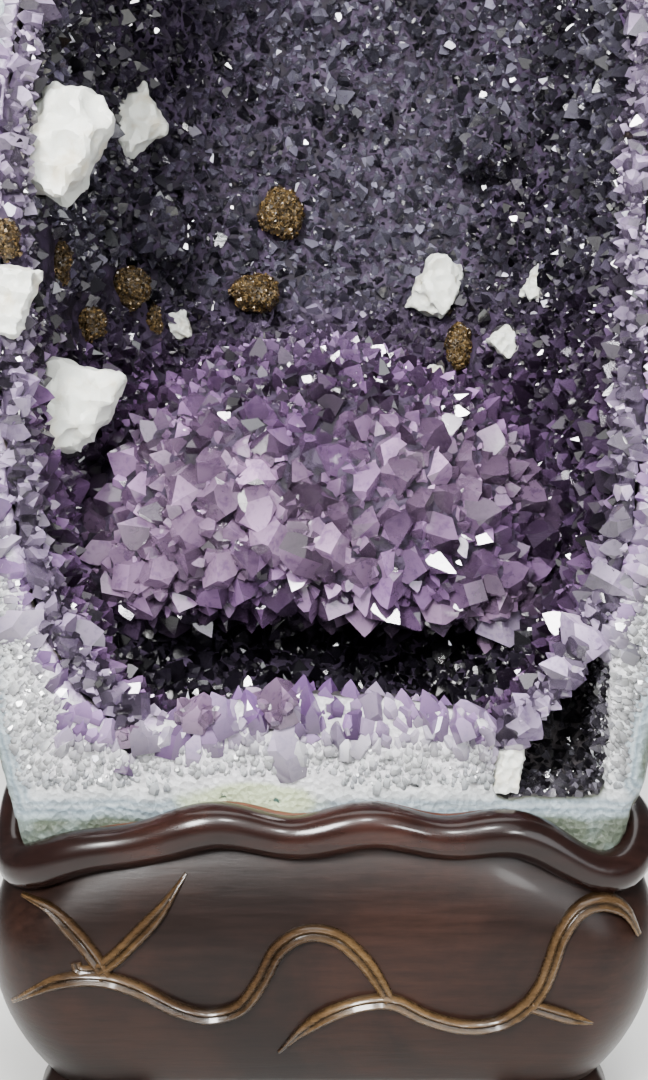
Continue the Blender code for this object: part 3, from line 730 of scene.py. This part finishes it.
# %% [markdown]
# ## Crystals
# A quartz crystal is a six-sided column with a six-faced point. Its faces slope at about 52 degrees
# and are never equal: three usually crowd out the others. A six-sided cylinder is cut six times,
# each cut at its own height, to make one model crystal. A dozen of them give enough variety.

# %% Model crystals
SLOPE = math.radians(51.8)
chance = np.random.default_rng(7)


def model_crystal(number):
    deselect()
    bpy.ops.mesh.primitive_cylinder_add(vertices=6, radius=1.0, depth=3.0, location=(0, 0, 0.5))
    bpy.ops.object.transform_apply(location=True)
    obj = bpy.context.object
    sides = [math.atan2(f.normal.y, f.normal.x) for f in obj.data.polygons if abs(f.normal.z) < 0.1]
    sides.sort()
    bpy.ops.object.mode_set(mode="EDIT")
    for i, side in enumerate(sides):
        large = i % 2 == number % 2
        apex = chance.uniform(0.85, 1.10) if large else chance.uniform(1.05, 1.55)
        slant = SLOPE + chance.uniform(-0.04, 0.04)
        lean = (math.sin(slant) * math.cos(side), math.sin(slant) * math.sin(side), math.cos(slant))
        bpy.ops.mesh.select_all(action="SELECT")
        bpy.ops.mesh.bisect(plane_co=(0, 0, apex), plane_no=lean, use_fill=True, clear_outer=True)
    bpy.ops.object.mode_set(mode="OBJECT")
    for face in obj.data.polygons:
        face.select = face.normal.z < -0.9
    bpy.ops.object.mode_set(mode="EDIT")
    bpy.ops.mesh.select_mode(type="FACE")
    bpy.ops.mesh.delete(type="FACE")
    bpy.ops.mesh.select_all(action="SELECT")
    bpy.ops.mesh.quads_convert_to_tris()
    bpy.ops.object.mode_set(mode="OBJECT")
    mesh = obj.data
    places = np.array([v.co for v in mesh.vertices], dtype=np.float64)
    corners = np.array([f.vertices for f in mesh.polygons], dtype=np.int64)
    normals = [tuple(round(c, 2) for c in f.normal) for f in mesh.polygons]
    kinds = {n: i for i, n in enumerate(dict.fromkeys(normals))}
    facets = np.array([kinds[n] for n in normals])
    bpy.data.objects.remove(obj)
    return places, corners, facets


MODELS = [model_crystal(i) for i in range(12)]
print("model crystals:", [len(m[1]) for m in MODELS], "triangles each")

# %% [markdown]
# Crystals crowd together but do not sit inside each other. Places are drawn evenly over the bed and
# kept only where there is room for the crystal's own width.

# %% Places on a surface


def sample_surface(obj, count, rng, where=None):
    """Even random places on a mesh, with their normals; where picks faces by middle and normal."""
    mesh = obj.data
    mesh.calc_loop_triangles()
    tris = np.zeros(len(mesh.loop_triangles) * 3, dtype=np.int32)
    mesh.loop_triangles.foreach_get("vertices", tris)
    tris = tris.reshape(-1, 3)
    co, vn = np.zeros(len(mesh.vertices) * 3), np.zeros(len(mesh.vertices) * 3)
    mesh.vertices.foreach_get("co", co)
    mesh.vertices.foreach_get("normal", vn)
    co, vn = co.reshape(-1, 3), vn.reshape(-1, 3)
    a, b, c = co[tris[:, 0]], co[tris[:, 1]], co[tris[:, 2]]
    across = np.cross(b - a, c - a)
    area = np.linalg.norm(across, axis=1)
    if where is not None:
        area = area * where((a + b + c) / 3, across / (area[:, None] + 1e-12))
    pick = rng.choice(len(tris), size=count, p=area / area.sum())
    u, v = rng.random(count), rng.random(count)
    over = u + v > 1
    u[over], v[over] = 1 - u[over], 1 - v[over]
    w = 1 - u - v
    place = a[pick] * w[:, None] + b[pick] * u[:, None] + c[pick] * v[:, None]
    normal = vn[tris[pick, 0]] * w[:, None] + vn[tris[pick, 1]] * u[:, None] + vn[tris[pick, 2]] * v[:, None]
    return place, normal / np.linalg.norm(normal, axis=1)[:, None]


def with_room(place, radius, share):
    """The indices of places that keep share of their widths clear of each other."""
    cell = 0.006
    grid = {}
    kept = []
    for i, (x, y, z) in enumerate(np.floor(place / cell).astype(int)):
        span = int(math.ceil(2 * radius[i] * share / cell))
        steps = range(-span, span + 1)
        around = (j for dx in steps for dy in steps for dz in steps for j in grid.get((x + dx, y + dy, z + dz), ()))
        if all(((place[i] - place[j]) ** 2).sum() >= (share * (radius[i] + radius[j])) ** 2 for j in around):
            grid.setdefault((x, y, z), []).append(i)
            kept.append(i)
    return np.array(kept)


def waves(place, rate, seed):
    """Smooth uneven values between 0 and 1 over space."""
    rng = np.random.default_rng(seed)
    total = np.zeros(len(place))
    for _ in range(5):
        way = rng.normal(size=3)
        way *= rate * rng.uniform(0.6, 1.6) / np.linalg.norm(way)
        total += np.sin(place @ way + rng.uniform(0, 6.28))
    return 0.5 + 0.5 * np.tanh(total * 0.45)


# %% [markdown]
# Each place gets one of the model crystals, turned to stand on the surface with a random tilt and
# spin. All of one group's crystals form one mesh. A colour stored on every corner gives each crystal
# its own tone, gives each of its faces its own brightness as painted light and shade, and darkens it towards its foot
# as painted shade; a few faces are painted pale as glints.

# %% Grow crystals


def grow(name, place, aim, radius, length, tone, rng, tilt=0.35, sink=0.25, glint=0.0022, contrast=1.0):
    """Builds one mesh of many crystals. length is the point's height as a share of its radius; glint is the share of
    faces painted pale as glints.
    """
    count = len(place)
    aim = aim + rng.normal(scale=tilt * 0.6, size=(count, 3))
    aim /= np.linalg.norm(aim, axis=1)[:, None]
    side = np.cross(aim, rng.normal(size=(count, 3)))
    side /= np.linalg.norm(side, axis=1)[:, None]
    other = np.cross(aim, side)
    which = rng.integers(0, len(MODELS), count)
    vertices, triangles, colours = [], [], []
    offset = 0
    for model, (shape, corners, facets) in enumerate(MODELS):
        rows = np.nonzero(which == model)[0]
        if not len(rows):
            continue
        r = radius[rows][:, None, None]
        squash = rng.uniform(0.8, 1.2, (len(rows), 1, 1))
        x = shape[None, :, 0:1] * r * squash
        y = shape[None, :, 1:2] * r / squash
        z = shape[None, :, 2:3] * r * length[rows][:, None, None]
        base = place[rows] - aim[rows] * (radius[rows] * sink)[:, None]
        points = base[:, None, :] + x * side[rows][:, None] + y * other[rows][:, None] + z * aim[rows][:, None]
        vertices.append(points.reshape(-1, 3))
        index = corners[None] + (np.arange(len(rows)) * len(shape))[:, None, None] + offset
        triangles.append(index.reshape(-1, 3))
        offset += len(rows) * len(shape)
        # Each face gets a random brightness: painted light and shade that stand in for reflections inside the
        # crystal.
        facet = rng.random((len(rows), facets.max() + 1))
        painted_shading = (0.30 + 1.35 * facet**1.6) ** contrast
        # A few faces of mid-sized crystals are painted pale and flagged in the alpha: painted glints.
        painted_glint_faces = (facet > 1.0 - glint) & ((radius[rows] > 0.0020) & (radius[rows] < 0.0060))[:, None]
        light = painted_shading[:, facets]
        # Painted shade: each crystal darkens towards its foot, between its neighbours.
        rise = np.clip((shape[corners, 2] + 0.9) / 1.9, 0, 1)
        foot = 0.30 + 0.70 * rise
        colour = tone[rows][:, None, None, :] * light[:, :, None, None] * foot[None, :, :, None]
        pale = np.array([0.80, 0.78, 0.90])
        colour = np.where(painted_glint_faces[:, facets][:, :, None, None], pale, colour)
        painted_glint_flags = np.broadcast_to(painted_glint_faces[:, facets][:, :, None, None], colour.shape[:3] + (1,))
        colours.append(np.concatenate([np.clip(colour, 0, 1), painted_glint_flags], axis=3).reshape(-1, 4))
    vertices = np.concatenate(vertices)
    triangles = np.concatenate(triangles)
    colours = np.concatenate(colours)
    mesh = bpy.data.meshes.new(name)
    mesh.vertices.add(len(vertices))
    mesh.vertices.foreach_set("co", vertices.astype(np.float32).ravel())
    mesh.loops.add(len(triangles) * 3)
    mesh.loops.foreach_set("vertex_index", triangles.astype(np.int32).ravel())
    mesh.polygons.add(len(triangles))
    mesh.polygons.foreach_set("loop_start", np.arange(0, len(triangles) * 3, 3, dtype=np.int32))
    mesh.update(calc_edges=True)
    mesh.shade_flat()
    layer = mesh.color_attributes.new("tone", "FLOAT_COLOR", "CORNER")
    layer.data.foreach_set("color", colours.astype(np.float32).ravel())
    obj = bpy.data.objects.new(name, mesh)
    bpy.context.scene.collection.objects.link(obj)
    print(name, count, "crystals,", len(triangles), "triangles")
    return obj


# %% [markdown]
# Amethyst is clear violet quartz. The stored tone gives the colour, cloudy patches inside dull it a
# little, and the faces are almost mirror smooth, with faint growth lines. The tone also carries painted light and
# shade, and its alpha makes the painted glints glow.

# %% Crystal finishes


def crystal_finish(name, roughness, cloud, clearness):
    material, tree, shader = new_material(name)
    tone = attribute(tree, "tone")
    clouds = blotches(tree, (1, 1, 1), cloud, 220.0, 0.45, 0.70)
    # The tone's alpha flags painted glints, which glow by emission as painted highlights.
    set_sockets(
        tree, shader, Base_Color=mixed(tree, 1.0, tone["Color"], clouds["Color"], "MULTIPLY"),
        Roughness=ranged(tree, clouds["Mask"], to_low=roughness * 0.6, to_high=roughness * 2.0),
        IOR=1.60, Specular_IOR_Level=0.55, Coat_Weight=0.45, Coat_Roughness=0.02, Transmission_Weight=clearness,
        Emission_Color=mixed(tree, tone["Alpha"], (0, 0, 0, 1), (0.9, 0.9, 1.0, 1)), Emission_Strength=0.9,
    )
    add_bump(tree, shader, grain(tree, 900.0, 3.0), 0.12, 0.0003)
    return material


AMETHYST = crystal_finish("amethyst_crystal", 0.05, (0.62, 0.56, 0.68), clearness=0.35)
QUARTZ = crystal_finish("rim_quartz", 0.12, (0.80, 0.80, 0.86), clearness=0.0)

# %% [markdown]
# Where the crystals stand decides how they look. They are small and slate-grey high on the wall,
# violet lower down, and large and lavender on the ledge; in the recess at the upper left, on the right
# side and in the pocket under the ledge they are painted nearly black, as painted shade.

# %% Size and tone over the hollow
LAVENDER = np.array([0.37, 0.235, 0.39])
VIOLET = np.array([0.180, 0.096, 0.218])
SLATE = np.array([0.100, 0.095, 0.128])
RECESS_SHADE = np.array([0.030, 0.020, 0.042])
POCKET_SHADE = np.array([0.012, 0.010, 0.015])
ledge_tree = tree_of(NODES["amethyst_ledge"])
dome_tree = tree_of(NODES["amethyst_dome"])


def closeness(place, tree, far):
    """1 on a CAD piece's surface, falling to 0 at a distance of far."""
    gaps = np.array([tree.find_nearest(Vector(p))[3] for p in place])
    return np.clip(1.0 - gaps / far, 0, 1) ** 0.5


def ease(value, low, high):
    t = np.clip((value - low) / (high - low), 0, 1)
    return t * t * (3 - 2 * t)


def blend(tone, other, share):
    return tone * (1 - share[:, None]) + other * share[:, None]


def near(place, x, z, width, height):
    """1 at a point of the wall, falling smoothly to 0 outside an oval round it."""
    off = ((place[:, 0] - x) / width) ** 2 + ((place[:, 2] - z) / height) ** 2
    return np.exp(-off)


def wall_tone(place, on_ledge):
    x, y, z = place.T
    count = len(place)
    patch = waves(place, 60.0, 3)
    fine = waves(place, 190.0, 5)
    low = ease(z, 0.455, 0.375)[:, None]
    tone = SLATE * (1 - low) + VIOLET * low
    tone = tone * (0.40 + 1.2 * patch)[:, None]
    front = on_ledge * ease(y, 0.03, -0.03) * ease(z, 0.385, 0.335)
    deep = (0.75 * ease(waves(place, 75.0, 8), 0.45, 0.95))[:, None]
    ledge = (LAVENDER * (1 - deep) + np.array([0.17, 0.085, 0.22]) * deep) * (0.75 + 0.5 * fine)[:, None]
    tone = blend(tone, ledge, front)
    # Painted shade: the recess at the upper left, the right side and two smaller hollows are darkened towards near
    # black.
    dark = near(place, -0.095, 0.58, 0.060, 0.085) * 0.95
    dark = np.maximum(dark, near(place, 0.135, 0.38, 0.035, 0.16) * 0.8)
    dark = np.maximum(dark, near(place, 0.120, 0.490, 0.022, 0.030) * 0.9)
    dark = np.maximum(dark, near(place, -0.13, 0.42, 0.03, 0.05) * 0.6)
    tone = blend(tone, RECESS_SHADE * 0.7, dark)
    # Painted shade: the pocket under the ledge is blended to near black.
    pocket = ease(z, 0.262, 0.245) * ease(y, -0.075, -0.055)
    tone = blend(tone, POCKET_SHADE, pocket)
    roof = ease(z, 0.60, 0.66) * ease(y, 0.03, -0.03)
    tone = blend(tone, LAVENDER * 0.9, roof)
    rim = ease(y - front_y(z), 0.022, 0.003)
    tone = blend(tone, np.array([0.42, 0.33, 0.50]), rim)
    own = np.random.default_rng(21).uniform(0, 1, (count, 1))
    spread = (0.9 - 0.45 * front)[:, None]
    return tone * (1 - spread + 2.1 * spread * own**1.3)


def wall_radius(place, on_ledge, rng):
    x, y, z = place.T
    size = 0.0029 + 0.0010 * ease(z, 0.44, 0.36)
    size = size + 0.0030 * on_ledge * ease(z, 0.375, 0.330) + 0.0008 * ease(z, 0.60, 0.66)
    spread = np.exp(rng.normal(scale=0.30, size=len(place)))
    small = np.where(rng.random(len(place)) < 0.45, 0.5, 1.0)
    return np.clip(size * spread * small, 0.0013, 0.0125)


# %% Crystals of the hollow
crust_tree = tree_of(crust)
bed_tree = tree_of(bed)


def uncovered(place, normal, tree, reach=0.0045):
    """True where nothing of the other surface lies close in front of the place."""
    seen = np.zeros(len(place), dtype=bool)
    for i in range(len(place)):
        start, way = Vector(place[i]), Vector(normal[i])
        if tree.ray_cast(start - way * 0.001, way, reach)[0] is None:
            seen[i] = tree.find_nearest(start)[3] > 0.0012
    return seen


rng = np.random.default_rng(42)


def faces_hollow(middle, way):
    """Keeps faces that look into the hollow, and all of the ledge, but not the lining's back."""
    inwards = np.array([0.0, -0.09, 0.42]) - middle
    inwards[:, 2] *= 0.35
    return ((inwards * way).sum(axis=1) > -0.02) | (middle[:, 1] < -0.02)


def clear_of(place, names, ahead):
    """False where a crystal would stand less than ahead before one of the named pieces."""
    free = np.ones(len(place), dtype=bool)
    for name in names:
        low, high = (np.array(corner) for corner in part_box(name))
        inside = np.abs(place - (low + high) / 2) < (high - low) / 2 + 0.0005
        before = (place[:, 1] > low[1] - ahead) & (place[:, 1] < high[1])
        free &= ~(inside[:, 0] & inside[:, 2] & before)
    return free


place, normal = sample_surface(bed, 110000, rng, faces_hollow)
on_ledge = np.maximum(closeness(place, ledge_tree, 0.006), closeness(place, dome_tree, 0.006))
radius = wall_radius(place, on_ledge, rng)
largest_first = np.argsort(-radius)
kept = largest_first[with_room(place[largest_first], radius[largest_first], 0.62)]
kept = kept[uncovered(place[kept], normal[kept], crust_tree)]
kept = kept[clear_of(place[kept], sorted(n for n in NODES if n.startswith("goethite")), 0.030)]
place, normal, radius, on_ledge = place[kept], normal[kept], radius[kept], on_ledge[kept]
tone = wall_tone(place, on_ledge)
length = rng.uniform(0.85, 1.55, len(place))
print("places in the hollow:", len(place))

by_height = np.argsort(place[:, 2])
for number, zone in enumerate(np.array_split(by_height, 6), start=1):
    name = f"wall_crystals_{number}"
    group = grow(name, place[zone], normal[zone], radius[zone], length[zone], tone[zone], rng)
    finish_piece(group, AMETHYST, [])

# %% [markdown]
# On the broken face the quartz is cut lengthways: columns stand side by side and point to the hollow,
# milky at their roots and lilac at their tips. So these crystals lie along the face instead of
# standing on it, and only those at the hollow's edge turn outwards.

# %% Crystals of the broken front
FRONT_DEPTH = 0.055
place, normal = sample_surface(crust, 60000, rng, lambda middle, way: middle[:, 1] < crust_low.y + FRONT_DEPTH)


def front_places(place, normal):
    """Places on the broken face inside the agate band, with their depth under the skin."""
    under = np.array([skin_tree.find_nearest(Vector(p))[3] for p in place])
    depth = np.minimum(under, np.maximum(place[:, 2] - BASE_Z, 0.0))
    front = place[:, 1] < np.array([front_y(z) for z in place[:, 2]]) + 0.030
    skin = (under < 0.002) & (normal[:, 1] > -0.5)
    notch = (place[:, 0] > 0.086) & (place[:, 0] < 0.135) & (place[:, 2] < 0.235) & (place[:, 1] > -0.103)
    agate = (place[:, 2] < 0.186) | ((place[:, 2] < 0.192) & (np.abs(place[:, 0] + 0.033) < 0.042))
    kept = front & ~skin & ~notch & ~agate & (depth > 0.0085)
    kept[kept] = uncovered(place[kept], normal[kept], bed_tree, 0.004)
    return kept, depth


kept, depth = front_places(place, normal)
place, normal, depth = place[kept], normal[kept], depth[kept]
reach = np.zeros(len(place))
inward = np.zeros((len(place), 3))
for i, spot in enumerate(place):
    nearest, _, _, gap = lining_tree.find_nearest(Vector(spot))
    reach[i] = gap
    inward[i] = np.array(nearest) - spot + np.array([0.0, 0.0, 1e-6])
lip = (np.abs(place[:, 0] + 0.02) < 0.105) & (place[:, 2] < 0.26)
inward[lip] = [0.0, 0.0, 1.0]
middle = np.array([0.0, -0.02, 0.42]) - place
inward = inward / np.linalg.norm(inward, axis=1)[:, None] + 0.5 * middle / np.linalg.norm(middle, axis=1)[:, None]
inward /= np.linalg.norm(inward, axis=1)[:, None]
tip = ease(reach, 0.012, 0.002)
lip_top = lip * ease(normal[:, 2], 0.25, 0.75)
tip = np.maximum(tip, np.maximum(lip_top, lip * ease(place[:, 2], 0.200, 0.214)))
radius = (0.0012 + 0.0017 * tip + 0.0016 * lip_top) * np.exp(rng.normal(scale=0.33, size=len(place)))
order = np.argsort(-radius)
order = order[with_room(place[order], radius[order], 0.58)]
place, normal, radius, inward, tip, lip_top, lip, depth = (
    array[order] for array in (place, normal, radius, inward, tip, lip_top, lip, depth)
)
standing = np.maximum(tip * 0.8, 0.35)[:, None]
aim = normal * standing + inward * (1.0 - 0.4 * standing)
WHITE = np.array([0.68, 0.69, 0.70])
GREYED = np.array([0.40, 0.44, 0.46])
LILAC = np.array([0.30, 0.19, 0.37])
PURPLE = np.array([0.17, 0.085, 0.24])
patch = waves(place, 90.0, 9)[:, None]
# Painted shade: the roots darken towards the right of the broken front.
right = ease(place[:, 0], 0.05, 0.12)[:, None]
low = 0.6 * ease(place[:, 2], 0.200, 0.184)[:, None]
root = WHITE * (1 - 0.35 * right) * (1 - 0.15 * patch) * (1 - low) + GREYED * low
crown = LILAC * patch + PURPLE * (1 - patch)
mixing = np.clip(tip * (0.55 + 0.7 * waves(place, 150.0, 12)), 0, 1)[:, None]
tone = (root * (1 - mixing) + crown * mixing) * (1 + (0.1 + 0.4 * mixing) * rng.uniform(-1, 1, (len(place), 1)))
length = np.minimum(rng.uniform(0.8, 1.6, len(place)), 0.8 * depth / radius)
rim_crystals = grow(
    "rim_crystals", place, aim, radius, length, tone, rng, tilt=0.5, sink=0.55, glint=0.004, contrast=0.30
)
finish_piece(rim_crystals, QUARTZ, [])

# %% Dark crystals of the notch


def in_notch(place, normal=None):
    x, y, z = place.T
    return (x > 0.080) & (x < 0.143) & (z > 0.172) & (z < 0.262) & (y > -0.104) & (y < -0.02)


notch_place, notch_normal = sample_surface(crust, 12000, rng, in_notch)
kept = in_notch(notch_place)
kept &= np.array([skin_tree.find_nearest(Vector(p))[3] > 0.010 for p in notch_place])
kept[kept] = uncovered(notch_place[kept], notch_normal[kept], bed_tree, 0.003)
notch_place, notch_normal = notch_place[kept], notch_normal[kept]
radius = 0.0020 * np.exp(rng.normal(scale=0.30, size=len(notch_place)))
order = np.argsort(-radius)
order = order[with_room(notch_place[order], radius[order], 0.65)]
# The notch's crystals are nearly black grey: painted shade for the notch's recess.
tone = np.array([0.075, 0.070, 0.085]) * rng.uniform(0.1, 1.9, (len(order), 1)) ** 1.4
notch_crystals = grow("notch_crystals", notch_place[order], notch_normal[order], radius[order],
                      rng.uniform(0.8, 1.4, len(order)), tone, rng, glint=0.006)
finish_piece(notch_crystals, AMETHYST, [])

# Greyish points lean in over the notch's outer edge and a few smaller ones stand along its sill.
EDGE_POINTS, SILL_POINTS = 44, 30
up = np.linspace(0.178, 0.285, EDGE_POINTS)
place = np.column_stack((0.1425 + 0.003 * waves(np.column_stack((up, up, up)), 160.0, 3),
                         rng.uniform(-0.106, -0.086, EDGE_POINTS), up + rng.uniform(-0.003, 0.003, EDGE_POINTS)))
sill = np.column_stack((rng.uniform(0.092, 0.140, SILL_POINTS), rng.uniform(-0.106, -0.098, SILL_POINTS),
                        np.full(SILL_POINTS, 0.1725)))
aim = np.concatenate((np.tile([-1.0, -0.25, 0.10], (EDGE_POINTS, 1)), np.tile([0.0, -0.25, 1.0], (SILL_POINTS, 1))))
radius = np.concatenate((rng.uniform(0.0022, 0.0058, EDGE_POINTS), rng.uniform(0.0012, 0.0024, SILL_POINTS)))
length = rng.uniform(1.0, 1.7, EDGE_POINTS + SILL_POINTS)
grey = rng.uniform(0, 1, (EDGE_POINTS + SILL_POINTS, 1))
tone = GREYED * grey + np.array([0.26, 0.20, 0.29]) * (1 - grey)
edge_crystals = grow("notch_edge_crystals", np.concatenate((place, sill)), aim, radius, length, tone, rng,
                     tilt=0.6, sink=0.30, glint=0.02, contrast=0.6)
finish_piece(edge_crystals, QUARTZ, [])

# %% [markdown]
# The single large points on the ledge and the lip follow their CAD solids. Each is a model crystal
# stretched to the solid's own axis and width, with smaller crystals crowding round its foot.

# %% Large points


def axis_of(name):
    """The foot, the aim, the radius and the length of a CAD point."""
    co = np.unique(np.round(np.array([v.co for v in NODES[name].data.vertices], dtype=float), 5), axis=0)
    middle = co.mean(axis=0)
    apex = co[np.argmax(np.linalg.norm(co - middle, axis=1))]
    far = co[np.argsort(-np.linalg.norm(co - apex, axis=1))[:6]]
    foot = far.mean(axis=0)
    radius = np.linalg.norm(far - foot, axis=1).mean()
    length = np.linalg.norm(apex - foot)
    return foot, (apex - foot) / length, radius, length


point_names = sorted(n for n in NODES if n.startswith(("amethyst_point", "lip_point")))
for i, name in enumerate(point_names):
    foot, aim, radius, length = axis_of(name)
    shape_rng = np.random.default_rng(100 + i)
    crowd = 9
    spin = shape_rng.uniform(0, 2 * math.pi, crowd)
    side = np.cross(aim, [0.3, 0.2, 0.9])
    side /= np.linalg.norm(side)
    other = np.cross(aim, side)
    ring = (np.cos(spin)[:, None] * side + np.sin(spin)[:, None] * other)
    small = radius * shape_rng.uniform(0.28, 0.5, crowd)
    reach = radius * shape_rng.uniform(0.8, 1.15, crowd)
    back = length * shape_rng.uniform(0.30, 0.62, crowd)
    apex = foot + aim * length
    places = np.vstack([apex - aim * radius * 1.05, apex - aim * back[:, None] + ring * reach[:, None]])
    aims = np.vstack([aim, aim + ring * 0.8])
    radii = np.append(radius, small)
    lengths = np.append(1.0, shape_rng.uniform(0.9, 1.4, crowd))
    pale = LAVENDER * 1.25 if name.startswith("amethyst") else LAVENDER * 1.1
    if name == "amethyst_point_1":
        pale = np.array([0.50, 0.40, 0.58])
    tones = np.vstack([pale, np.repeat(LAVENDER[None] * 0.9, crowd, axis=0)])
    piece = grow(name + "_cluster", places, aims, radii, lengths, tones, shape_rng, tilt=0.06, sink=0.0, glint=0.0,
                 contrast=0.6)
    finish_piece(piece, AMETHYST, [name])

# %% [markdown]
# ## Calcite
# Calcite breaks along flat planes into leaning blocks with stepped edges. The CAD block is rebuilt
# finely, pushed about by a cellular texture for the broken steps, and thinned so that flats remain.

# %% Calcite blocks


def calcite_finish():
    material, tree, shader = new_material("calcite_white")
    set_sockets(
        tree, shader, Base_Color=blotches(tree, (0.76, 0.78, 0.72), (0.60, 0.55, 0.42), 55.0, 0.50, 0.74)["Color"],
        Roughness=0.42, Subsurface_Weight=0.25, Subsurface_Radius=(1.0, 0.95, 0.8), Subsurface_Scale=0.003,
    )
    place = node(tree, "TexCoord").outputs["Object"]
    add_bump(tree, shader, node(tree, "TexNoise", Vector=place, Scale=500.0, Detail=6.0).outputs["Fac"], 0.4, 0.0006)
    return material


CALCITE = calcite_finish()
for name in sorted(n for n in NODES if n.startswith("calcite")):
    low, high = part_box(name)
    longest = max(high - low)
    block = remeshed(merged_copy("white_" + name, [name]), longest / 34)
    displaced(block, "VORONOI", longest * 0.22, longest * 0.16)
    displaced(block, "CLOUDS", longest * 0.10, longest * 0.05)
    thin = block.modifiers.new("flats", "DECIMATE")
    thin.ratio = 0.35
    take_modifiers(block)
    finish_piece(block, CALCITE, [name], smooth=28)

# %% [markdown]
# ## Goethite
# Goethite coats old crystals as a brown, glittering crust. The CAD lump is roughened and covered in
# small golden-brown grains.

# %% Goethite lumps


def goethite_finish():
    material, tree, shader = new_material("goethite_brown")
    patches = blotches(tree, (0.028, 0.018, 0.008), (0.19, 0.125, 0.048), 420.0, 0.45, 0.66)
    set_sockets(tree, shader, Base_Color=patches["Color"], Roughness=0.38, Metallic=0.25)
    add_bump(tree, shader, patches["Mask"], 0.7, 0.0008)
    return material


def grain_finish():
    material, tree, shader = new_material("goethite_grains")
    specks = blotches(tree, (1, 1, 1), (0.5, 0.45, 0.4), 500.0)["Color"]
    speckled = mixed(tree, 1.0, attribute(tree, "tone")["Color"], specks, "MULTIPLY")
    set_sockets(tree, shader, Base_Color=speckled, Roughness=0.22, Metallic=0.35)
    return material


GOETHITE = goethite_finish()
GRAINS = grain_finish()
grain_places, grain_normals = [], []
for name in sorted(n for n in NODES if n.startswith("goethite")):
    low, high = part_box(name)
    longest = max(high - low)
    lump = remeshed(merged_copy("brown_" + name, [name]), longest / 26)
    displaced(lump, "CLOUDS", longest * 0.20, longest * 0.20)
    finish_piece(lump, GOETHITE, [name], smooth=50)
    spots, ways = sample_surface(lump, int(60 + 3.2e6 * longest**2), rng)
    grain_places.append(spots)
    grain_normals.append(ways)
place, normal = np.concatenate(grain_places), np.concatenate(grain_normals)
radius = rng.uniform(0.0006, 0.0016, len(place))
kept = with_room(place, radius, 0.6)
GOLD = np.array([0.20, 0.130, 0.052])
tone = GOLD * rng.uniform(0.15, 1.5, (len(kept), 1))
# Like all grown crystals, the grains carry painted light and shade on their faces and a few painted pale glints.
grains = grow("goethite_grains", place[kept], normal[kept], radius[kept], rng.uniform(0.5, 1.2, len(kept)), tone, rng,
              tilt=0.9, glint=0.03)
finish_piece(grains, GRAINS, [])

# %% [markdown]
# ## Studio
# A pale floor and soft lights from the front left, the right, behind and overhead. Small crystal
# faces only sparkle if something small and bright is there to be mirrored, so a few little lamps are
# added.

# %% Floor and lights


def floor_finish():
    material, tree, shader = new_material("studio_floor")
    patches = blotches(tree, (0.78, 0.78, 0.76), (0.74, 0.74, 0.72), 3.0)
    set_sockets(tree, shader, Base_Color=patches["Color"], Roughness=0.6)
    return material


deselect()
bpy.ops.mesh.primitive_plane_add(size=8.0, location=(0, 0, -0.0005))
floor = bpy.context.object
floor.name = "studio_floor"
floor.data.materials.append(floor_finish())
floor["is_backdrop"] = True


def soft_light(name, place, target, size, power, colour=(1, 1, 1), spread=120):
    deselect()
    bpy.ops.object.light_add(type="AREA", location=place)
    light = bpy.context.object
    light.name = name
    light.data.shape = "DISK"
    light.data.size = size
    light.data.energy = power
    light.data.spread = math.radians(spread)
    light.data.color = colour
    light.rotation_euler = (Vector(target) - Vector(place)).to_track_quat("-Z", "Y").to_euler()
    return light


middle = (0.0, 0.0, 0.35)
soft_light("key", (-0.40, -1.15, 1.05), (0.0, 0.0, 0.40), 0.36, 8.5, (1.0, 0.99, 0.97), spread=80)
soft_light("fill", (0.9, -1.2, 0.6), middle, 0.8, 3.0, (0.94, 0.97, 1.0))
soft_light("back", (0.3, 1.4, 1.3), middle, 1.0, 16.0)
soft_light("sparkle_left", (-0.30, -0.90, 0.62), middle, 0.13, 1.8)
soft_light("sparkle_right", (0.34, -0.95, 0.50), middle, 0.12, 1.3)
soft_light("sparkle_top", (0.05, -0.80, 0.85), middle, 0.13, 1.8)
soft_light("ceiling", (0.2, -1.9, 1.9), middle, 1.8, 8.0)
soft_light("overhead", (0.0, 0.6, 3.0), (0.0, 0.4, 0.0), 3.0, 45.0)

world = bpy.data.worlds.new("studio")
bpy.context.scene.world = world
world.use_nodes = True
world.node_tree.nodes["Background"].inputs[0].default_value = (0.90, 0.92, 0.95, 1)
world.node_tree.nodes["Background"].inputs[1].default_value = 0.18

# %% Size of the visual box
low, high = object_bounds()
print("visual box, metres:", [list(low), list(high)])
